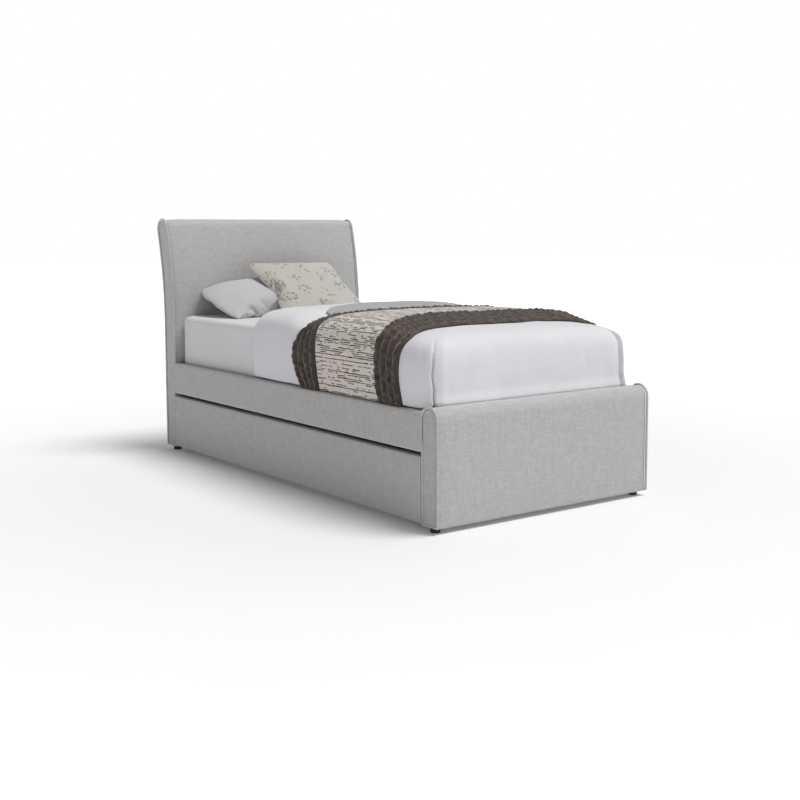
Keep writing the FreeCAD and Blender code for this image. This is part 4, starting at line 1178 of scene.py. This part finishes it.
def make_guest_mattress():
    """A foam mattress in ticking, with tape edges and rows of tufts that pull its top in."""
    low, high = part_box("guest_mattress")
    corner, tape_inset = 60 * MM, 2 * MM
    grid, direction = pad(low, high, corner, 22 * MM, 10 * MM)
    nudge = 0.8 * MM * cloud(grid, 130 * MM, 15)
    top = direction[..., 2] > 0.9
    spots = []
    for y in np.linspace(low.y, high.y, TUFT_ROWS + 2)[1:-1]:
        for x in np.linspace(low.x, high.x, TUFT_COLUMNS + 2)[1:-1]:
            distance = np.hypot(grid[..., 0] - x, grid[..., 1] - y)
            nudge = nudge - 9 * MM * np.exp(-(distance / (34 * MM)) ** 1.3) * top
            spots.append([(x, y, high.z - 8.5 * MM)])
    grid = grid + direction * (nudge - 1.6 * MM)[..., None]
    piece = wrapped("guest_mattress_body", grid, LOOKS["mattress_ticking"], "mattress_ticking", "guest_bed")
    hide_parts("guest_mattress")
    line = plan_curve((high.x - low.x) / 2 - tape_inset, low.y + tape_inset, high.y - tape_inset,
                      corner - tape_inset, 20 * MM, False)[0]
    line[:, 0] += (low.x + high.x) / 2
    tapes = [np.column_stack([line, np.full(len(line), z)]) for z in (low.z + 20 * MM, high.z - 20 * MM)]
    cord("guest_mattress_tape_edges", tapes, 4 * MM, 10, "tape", "mattress_ticking", "guest_bed")
    grown("guest_mattress_tufts", tuft_tree(), spots, {"Diameter": 16 * MM, "Height": 5 * MM, "Seed": 4},
          LOOKS["tape"], "mattress_ticking", "guest_bed")


def make_piping():
    """Round piped cord, proud of the cloth, along both ends of each board."""
    look = settings().upholstery
    for name, node, inward in (("headboard_piped_edges", "headboard_cover", -1),
                               ("footboard_piped_edges", "footboard_cover", 1)):
        outline = board_outline(node, -look.piping_proud)[0]
        low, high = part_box(node)
        outline[:, 1] = np.maximum(outline[:, 1], low.z + look.piping_radius)
        # the cord lies almost flush beside the guest bed, which rolls past it with 4 mm to spare
        face = inward * (high.y if inward > 0 else low.y)
        free = ramp(outline[:, 1], GUEST_BED_TOP, GUEST_BED_TOP + 70 * MM)
        limit = face + 1.5 * MM - look.piping_radius + 12 * MM * free
        outline[:, 0] = inward * np.minimum(inward * outline[:, 0], limit)
        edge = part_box(node.replace("_cover", "_piping"))[1].x - look.piping_radius + 1 * MM
        rings = [np.column_stack([np.full(len(outline), x), outline]) for x in (-edge, edge)]
        piping = cord(name, rings, look.piping_radius, 12, "upholstery_piping", "upholstery_piping")
        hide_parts(node.replace("_cover", "_piping"))


def make_upholstery_stitches():
    """Top stitching beside the piping of the boards and round the guest bed's front panel."""
    pitch = settings().upholstery.stitch_pitch
    values = {"Pitch": pitch, "Length": 0.72 * pitch, "Width": 0.9 * MM}
    tree = stitch_tree()
    lines = []
    for node in ("headboard_cover", "footboard_cover"):
        outline = board_outline(node, -0.1 * MM)[0][:-UNDERSIDE_POINTS]
        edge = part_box(node)[1].x - 7 * MM
        lines += [np.column_stack([np.full(len(outline), x), outline]) for x in (-edge, edge)]
    grown("board_top_stitching", tree, lines, values, LOOKS["grey_thread"], "upholstery_piping")
    low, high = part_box("guest_panel_cover")
    inset = 11 * MM
    line = rounded_outline((low.y + inset, low.z + inset), (high.y - inset, high.z - inset), 8 * MM, 12 * MM)[0]
    path = np.column_stack([np.full(len(line), low.x - 0.6 * MM), line])
    grown("guest_panel_top_stitching", tree, [path], values, LOOKS["grey_thread"], "upholstery_piping",
          "guest_bed", closed=True)


# ---- finishes ------------------------------------------------------------------------------
LOOKS = {}
TIMBER = {"headboard_posts": "pine_upright", "footboard_posts": "pine_upright",
          "headboard_cross_rails": "pine_across", "footboard_cross_rails": "pine_across",
          "guest_end_rails": "pine_across"}


def make_finishes():
    """Make every finish, and give each of the frame's own parts its own."""
    cloth, bedding = settings().upholstery, settings().bedding
    LOOKS["upholstery_linen"] = linen("linen_look_plain_weave", cloth.linen_colour, 0.16)
    # the piping is the cover's linen painted lighter, as painted highlight where the cord catches the light
    LOOKS["upholstery_piping"] = linen("linen_look_piping_painted_highlight", cloth.piping_highlight_colour, 0.1)
    LOOKS["white_cotton"] = cotton("cotton_percale_white", bedding.cotton_colour)
    # the pillow case is the duvet's white cotton darkened as painted shade
    LOOKS["pillow_cotton_painted_shade"] = cotton("cotton_percale_pillow_painted_shade", bedding.pillow_shaded_colour)
    LOOKS["sheet_cotton"] = cotton("cotton_percale_fitted", bedding.sheet_colour, 0.45)
    LOOKS["grey_cotton"] = cotton("cotton_flannel_grey", bedding.blanket_colour, 0.5, 0.94)
    LOOKS["throw_brown"] = quilted_brown("sateen_quilted_brown", bedding.band_colour)
    LOOKS["throw_ivory"] = dashed_ivory("wool_blend_dashed_ivory", bedding.ivory_colour, linear("#3B322D"))
    LOOKS["cushion_print"] = sprig_print("cotton_linen_sprig_print", bedding.cushion_colour, linear("#A8987C"),
                                         linear("#8E8E88"), linear("#5A4E44"))
    LOOKS["mattress_ticking"] = ticking("cotton_twill_ticking", linear("#DEDCD6"), linear("#8E949C"))
    LOOKS["tape"] = thread("woven_tape_grey", linear("#8C9096"))
    LOOKS["brown_thread"] = thread("polyester_thread_brown", linear("#2E2622"))
    LOOKS["grey_thread"] = thread("polyester_thread_grey", linear("#9A9997"))
    LOOKS["foam"] = cellular("polyether_foam_cut", linear("#E3DCC8"))
    LOOKS["pine"] = wood("pine_sawn_along", linear("#CDA878"), (8.33, 250, 8.33), 0.2)
    LOOKS["pine_across"] = wood("pine_sawn_across", linear("#CDA878"), (250, 8.33, 8.33), 0.2)
    LOOKS["pine_upright"] = wood("pine_sawn_upright", linear("#CDA878"), (8.33, 8.33, 250), 0.2)
    LOOKS["plywood"] = wood("birch_plywood_sanded", linear("#D8BC8E"), (200, 5.88, 5.88), 0.12, 0.5)
    LOOKS["hardboard"] = chips("hardboard_pressed", linear("#7A5A3C"), 1.5, 0.12, 0.6)
    LOOKS["particle_board"] = chips("particle_board_raw", linear("#B8966A"), 3, 0.25)
    LOOKS["zinc_steel"] = zinc("zinc_plated_pressed_steel", linear("#B9BDC0"))
    LOOKS["black_plastic"] = moulded("polypropylene_moulded_black", linear("#1C1C1D"), 0.45)
    for name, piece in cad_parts.items():
        for spot in piece.material_slots:
            base = spot.material.name.split(".")[0] if spot.material else "pine"
            spot.material = LOOKS[TIMBER.get(name, base)]


# ---- settings ------------------------------------------------------------------------------
def colour_property(name, description, code):
    """A colour setting with an sRGB default."""
    return FloatVectorProperty(name=name, description=description, subtype="COLOR", size=3, min=0, max=1,
                               default=linear(code))


def length_property(name, description, default):
    """A length setting in metres."""
    return FloatProperty(name=name, description=description, subtype="DISTANCE", unit="LENGTH", precision=4,
                         default=default)


class UpholsterySettings(bpy.types.PropertyGroup):
    linen_colour: colour_property("Linen", "Colour of the woven cover", "#BFBEBD")
    # this colour is the linen lightened as painted highlight on the piped cord
    piping_highlight_colour: colour_property("Piping", "Colour of the piped edges", "#C6C4C4")
    board_crown: length_property("Board crown", "How far a board's padding swells between its edges", 4 * MM)
    rail_crown: length_property("Rail crown", "How far a rail's padding swells between its edges", 2.5 * MM)
    pucker: length_property("Pucker", "Depth of the gathers beside a seam", 0.9 * MM)
    piping_radius: length_property("Piping", "Radius of the piped cord", 5.0 * MM)
    piping_proud: length_property("Piping stands", "How far the piping stands out from the board's faces", 2.5 * MM)
    stitch_pitch: length_property("Stitch", "Distance from one top stitch to the next", 6 * MM)


class BeddingSettings(bpy.types.PropertyGroup):
    cotton_colour: colour_property("Duvet cotton", "Colour of the duvet and pillow covers", "#E9E8EC")
    # the pillow case's own colour is the duvet's white; this darker copy is painted shade
    pillow_shaded_colour: colour_property("Pillow cotton in painted shade", "Colour of the pillow case", "#C8C7C9")
    sheet_colour: colour_property("Sheet cotton", "Colour of the fitted sheet", "#E2E2E4")
    blanket_colour: colour_property("Blanket", "Colour of the turned-back blanket", "#B0B0B0")
    band_colour: colour_property("Throw bands", "Colour of the quilted bands", "#463C35")
    ivory_colour: colour_property("Throw centre", "Ground colour of the dashed cloth", "#E4DCD3")
    cushion_colour: colour_property("Cushion", "Ground colour of the printed cushion", "#C4C1BA")
    duvet_crest: length_property("Duvet crest", "Height of the duvet's highest line above the floor",
                                 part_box("duvet")[1].z + 2 * MM)
    duvet_fall: length_property("Duvet fall", "How much lower the duvet's sides lie than its crest", 12 * MM)
    edge_back: length_property("Head edge", "How far the duvet's head edge is drawn back towards the foot", 14 * MM)
    boxiness: FloatProperty(name="Boxiness", description="How square the duvet's upper edges are", default=8.5)
    right_share: FloatProperty(name="Right side", description="Fullness of the duvet's right side", default=0.984)
    left_pleat: length_property("Left pleat", "Distance of the left foot pleat from the bed's middle", 0.487)
    right_pleat: length_property("Right pleat", "Distance of the right foot pleat from the bed's middle", 0.452)
    band_loft: length_property("Quilting loft", "Height of the throw's quilted channels", 15 * MM)
    rib_wave: length_property("Quilting wave", "Distance between waves of the throw's channels", 56 * MM)
    ribs: IntProperty(name="Channels", description="Quilted channels in each band", default=4, min=2, max=8)
    side_slip: length_property("Side slip", "How far the throw's hems hang nearer the foot than its top", 60 * MM)
    side_bow: length_property("Side bow", "How far the throw's head edge swings towards the head on each side",
                              40 * MM)
    shoulder_slip: length_property("Shoulder slip", "How far the throw's edges swing to the foot over the bed's edge",
                                   52 * MM)
    head_back: length_property("Head edge of throw", "How far the throw's head edge is drawn back", 25 * MM)
    cushion_loft: length_property("Cushion loft", "Greatest thickness of the cushion", 100 * MM)
    pillow_loft: length_property("Pillow loft", "Greatest thickness of the pillow", 150 * MM)
    pillow_droop: length_property("Pillow droop", "How far the pillow's back corners hang", 45 * MM)


class StageSettings(bpy.types.PropertyGroup):
    floor_colour: colour_property("Floor", "Colour of the studio floor", "#F6F5F7")
    key_power: FloatProperty(name="Key light", description="Strength of the large soft lamp", default=2.25, min=0)
    sky: FloatProperty(name="Fill", description="Strength of the light from all round", default=0.235, min=0)


class TrundleBedSettings(bpy.types.PropertyGroup):
    upholstery: PointerProperty(type=UpholsterySettings)
    bedding: PointerProperty(type=BeddingSettings)
    stage: PointerProperty(type=StageSettings)


# ---- operators -----------------------------------------------------------------------------
class TRUNDLE_OT_finishes(bpy.types.Operator):
    """Make every finish and give the frame's own parts theirs"""
    bl_idname = "trundle.finishes"
    bl_label = "Finishes"

    def execute(self, context):
        make_finishes()
        return {"FINISHED"}


class TRUNDLE_OT_boards(bpy.types.Operator):
    """Upholster the headboard and the footboard"""
    bl_idname = "trundle.boards"
    bl_label = "Head and foot boards"

    def execute(self, context):
        look = settings().upholstery
        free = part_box("fitted_sheet")[1].z
        head = upholstered_board("headboard_upholstery", "headboard_cover", look.board_crown, free, 51)
        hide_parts("headboard_cover", "headboard_foam")
        foot = upholstered_board("footboard_upholstery", "footboard_cover", look.board_crown * 0.6, 30 * MM, 61)
        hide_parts("footboard_cover", "footboard_foam")
        for name, node, seed in (("headboard_end_panels", "headboard_cover", 71),
                                 ("footboard_end_panels", "footboard_cover", 81)):
            panels = end_panels(name, node, seed)
            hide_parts(node.replace("_cover", "_gussets"))
        return {"FINISHED"}


class TRUNDLE_OT_rails(bpy.types.Operator):
    """Upholster the two side rails"""
    bl_idname = "trundle.rails"
    bl_label = "Side rails"

    def execute(self, context):
        crown = settings().upholstery.rail_crown
        for side, sign, seed in (("left", -1, 91), ("right", 1, 101)):
            nodes = (f"{side}_rail_cover", f"{side}_rail_foam")
            rail = upholstered_rail(f"{side}_rail_upholstery", nodes, sign, 8 * MM, crown, seed)
            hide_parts(*nodes)
        return {"FINISHED"}


class TRUNDLE_OT_guest_panel(bpy.types.Operator):
    """Upholster the guest bed's front panel"""
    bl_idname = "trundle.guest_panel"
    bl_label = "Guest bed panel"

    def execute(self, context):
        nodes = ("guest_panel_cover", "guest_panel_foam")
        panel = upholstered_rail("guest_panel_upholstery", nodes, -1, 6 * MM, settings().upholstery.rail_crown, 111)
        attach(panel, "guest_bed")
        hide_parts(*nodes)
        return {"FINISHED"}


class TRUNDLE_OT_stitching(bpy.types.Operator):
    """Pipe the boards' ends and sew the top stitching"""
    bl_idname = "trundle.stitching"
    bl_label = "Piping and stitching"

    def execute(self, context):
        make_piping()
        make_upholstery_stitches()
        return {"FINISHED"}


class TRUNDLE_OT_mattress(bpy.types.Operator):
    """Make the main mattress and its fitted sheet"""
    bl_idname = "trundle.mattress"
    bl_label = "Mattress and sheet"

    def execute(self, context):
        make_mattress()
        return {"FINISHED"}


class TRUNDLE_OT_duvet(bpy.types.Operator):
    """Make the duvet with its throw and turned-back blanket"""
    bl_idname = "trundle.duvet"
    bl_label = "Duvet, throw and blanket"

    def execute(self, context):
        duvet = make_duvet()
        make_cuff(make_throw(duvet))
        return {"FINISHED"}


class TRUNDLE_OT_pillows(bpy.types.Operator):
    """Stuff the cushion and the pillow and lean them on each other"""
    bl_idname = "trundle.pillows"
    bl_label = "Pillow and cushion"

    def execute(self, context):
        make_pillow(make_cushion())
        return {"FINISHED"}


class TRUNDLE_OT_guest_mattress(bpy.types.Operator):
    """Make the guest bed's tufted mattress"""
    bl_idname = "trundle.guest_mattress"
    bl_label = "Guest mattress"

    def execute(self, context):
        make_guest_mattress()
        return {"FINISHED"}


class TRUNDLE_OT_stage(bpy.types.Operator):
    """Lay the floor, hang the lights and set the camera"""
    bl_idname = "trundle.stage"
    bl_label = "Studio"

    def execute(self, context):
        make_stage(context.scene)
        return {"FINISHED"}


def make_stage(scene):
    """A pale floor that glows as painted light, faintly beside the bed and more away from it, soft light from above
    and all round, and the camera.
    """
    look = scene.trundle_bed.stage
    floor_look, tree, where = material("studio_floor_matt_paint_painted_glow", look.floor_colour, 0.85,
                                       Emission_Color=(1, 1, 1, 1))
    place_on_floor = where.outputs["Object"]
    tone = streaks(tree, place_on_floor, (333, 333, 333))
    paint(tree, tinted(look.floor_colour, 0.99), (tone, tinted(look.floor_colour)))
    away = add(tree, "ShaderNodeVectorMath", {0: place_on_floor}, operation="LENGTH").outputs["Value"]
    # painted light: the floor emits a glow of its own, faint near the bed and stronger far from it, though it is no
    # lamp
    glow = add(tree, "ShaderNodeMapRange", {"Value": away, "From Min": 1.2, "From Max": 6.0, "To Min": 0.07,
                                            "To Max": 0.42})
    tree.links.new(glow.outputs[0], tree.nodes["shader"].inputs["Emission Strength"])
    x, y = np.meshgrid(np.linspace(-30, 30, 5), np.linspace(-30, 30, 5))
    grid = np.stack([x, y, np.zeros_like(x)], axis=-1)
    mesh = bpy.data.meshes.new("studio_floor")
    mesh.from_pydata(grid.reshape(-1, 3).tolist(), [], grid_faces(5, 5).tolist())
    floor = place("studio_floor", mesh, floor_look)

    world = bpy.data.worlds.new("studio_sky")
    scene.world = world
    world.use_nodes = True
    sky = world.node_tree
    sky.nodes.clear()
    fill = add(sky, "ShaderNodeBackground", {"Color": (1.0, 1.0, 1.0, 1.0), "Strength": look.sky})
    seen = add(sky, "ShaderNodeBackground", {"Color": (1.0, 1.0, 1.0, 1.0), "Strength": 1.0})
    path = add(sky, "ShaderNodeLightPath")
    both = add(sky, "ShaderNodeMixShader", {0: path.outputs["Is Camera Ray"], 1: fill, 2: seen})
    add(sky, "ShaderNodeOutputWorld", {"Surface": both})

    for name, way, power, spread in (("key_light", (0.3, -0.27, 0.92), look.key_power, 30.0),
                                     ("rim_light", (0.8, 0.3, 0.5), look.key_power * 0.12, 60.0)):
        lamp = bpy.data.lights.new(name, "SUN")
        lamp.energy = power
        lamp.angle = math.radians(spread)
        holder = bpy.data.objects.new(name, lamp)
        holder.rotation_euler = Vector(way).to_track_quat("Z", "Y").to_euler()
        scene.collection.objects.link(holder)

    lens = bpy.data.cameras.new("studio_camera")
    lens.sensor_width = 36.0
    lens.lens = 54.585
    lens.shift_x = -0.0375
    lens.shift_y = -0.05625
    lens.clip_end = 100.0
    camera = bpy.data.objects.new("studio_camera", lens)
    camera.location = (-2.996, -4.256, 1.043)
    camera.rotation_euler = (math.radians(84.0), 0.0, -math.radians(37.53))
    scene.collection.objects.link(camera)
    scene.camera = camera
    scene.view_settings.view_transform = "Standard"


class TRUNDLE_PT_panel(bpy.types.Panel):
    """The trundle bed's pieces and sizes"""
    bl_label = "Trundle bed"
    bl_idname = "TRUNDLE_PT_panel"
    bl_space_type = "VIEW_3D"
    bl_region_type = "UI"
    bl_category = "Trundle bed"

    def draw(self, context):
        bed = context.scene.trundle_bed
        for group in (bed.upholstery, bed.bedding, bed.stage):
            box = self.layout.box()
            for key in group.__annotations__:
                box.prop(group, key)
        for step in STEPS:
            self.layout.operator(step.bl_idname)


STEPS = (TRUNDLE_OT_finishes, TRUNDLE_OT_boards, TRUNDLE_OT_rails, TRUNDLE_OT_guest_panel, TRUNDLE_OT_stitching,
         TRUNDLE_OT_mattress, TRUNDLE_OT_duvet, TRUNDLE_OT_pillows, TRUNDLE_OT_guest_mattress, TRUNDLE_OT_stage)
CLASSES = (UpholsterySettings, BeddingSettings, StageSettings, TrundleBedSettings) + STEPS + (TRUNDLE_PT_panel,)


def register():
    for item in CLASSES:
        bpy.utils.register_class(item)
    bpy.types.Scene.trundle_bed = PointerProperty(type=TrundleBedSettings)


def unregister():
    del bpy.types.Scene.trundle_bed
    for item in reversed(CLASSES):
        bpy.utils.unregister_class(item)


def main():
    register()
    for step in STEPS:
        group, name = step.bl_idname.split(".")
        if getattr(getattr(bpy.ops, group), name)() != {"FINISHED"}:
            raise RuntimeError(f"{step.bl_label} didn't finish")


if __name__ == "__main__":
    main()
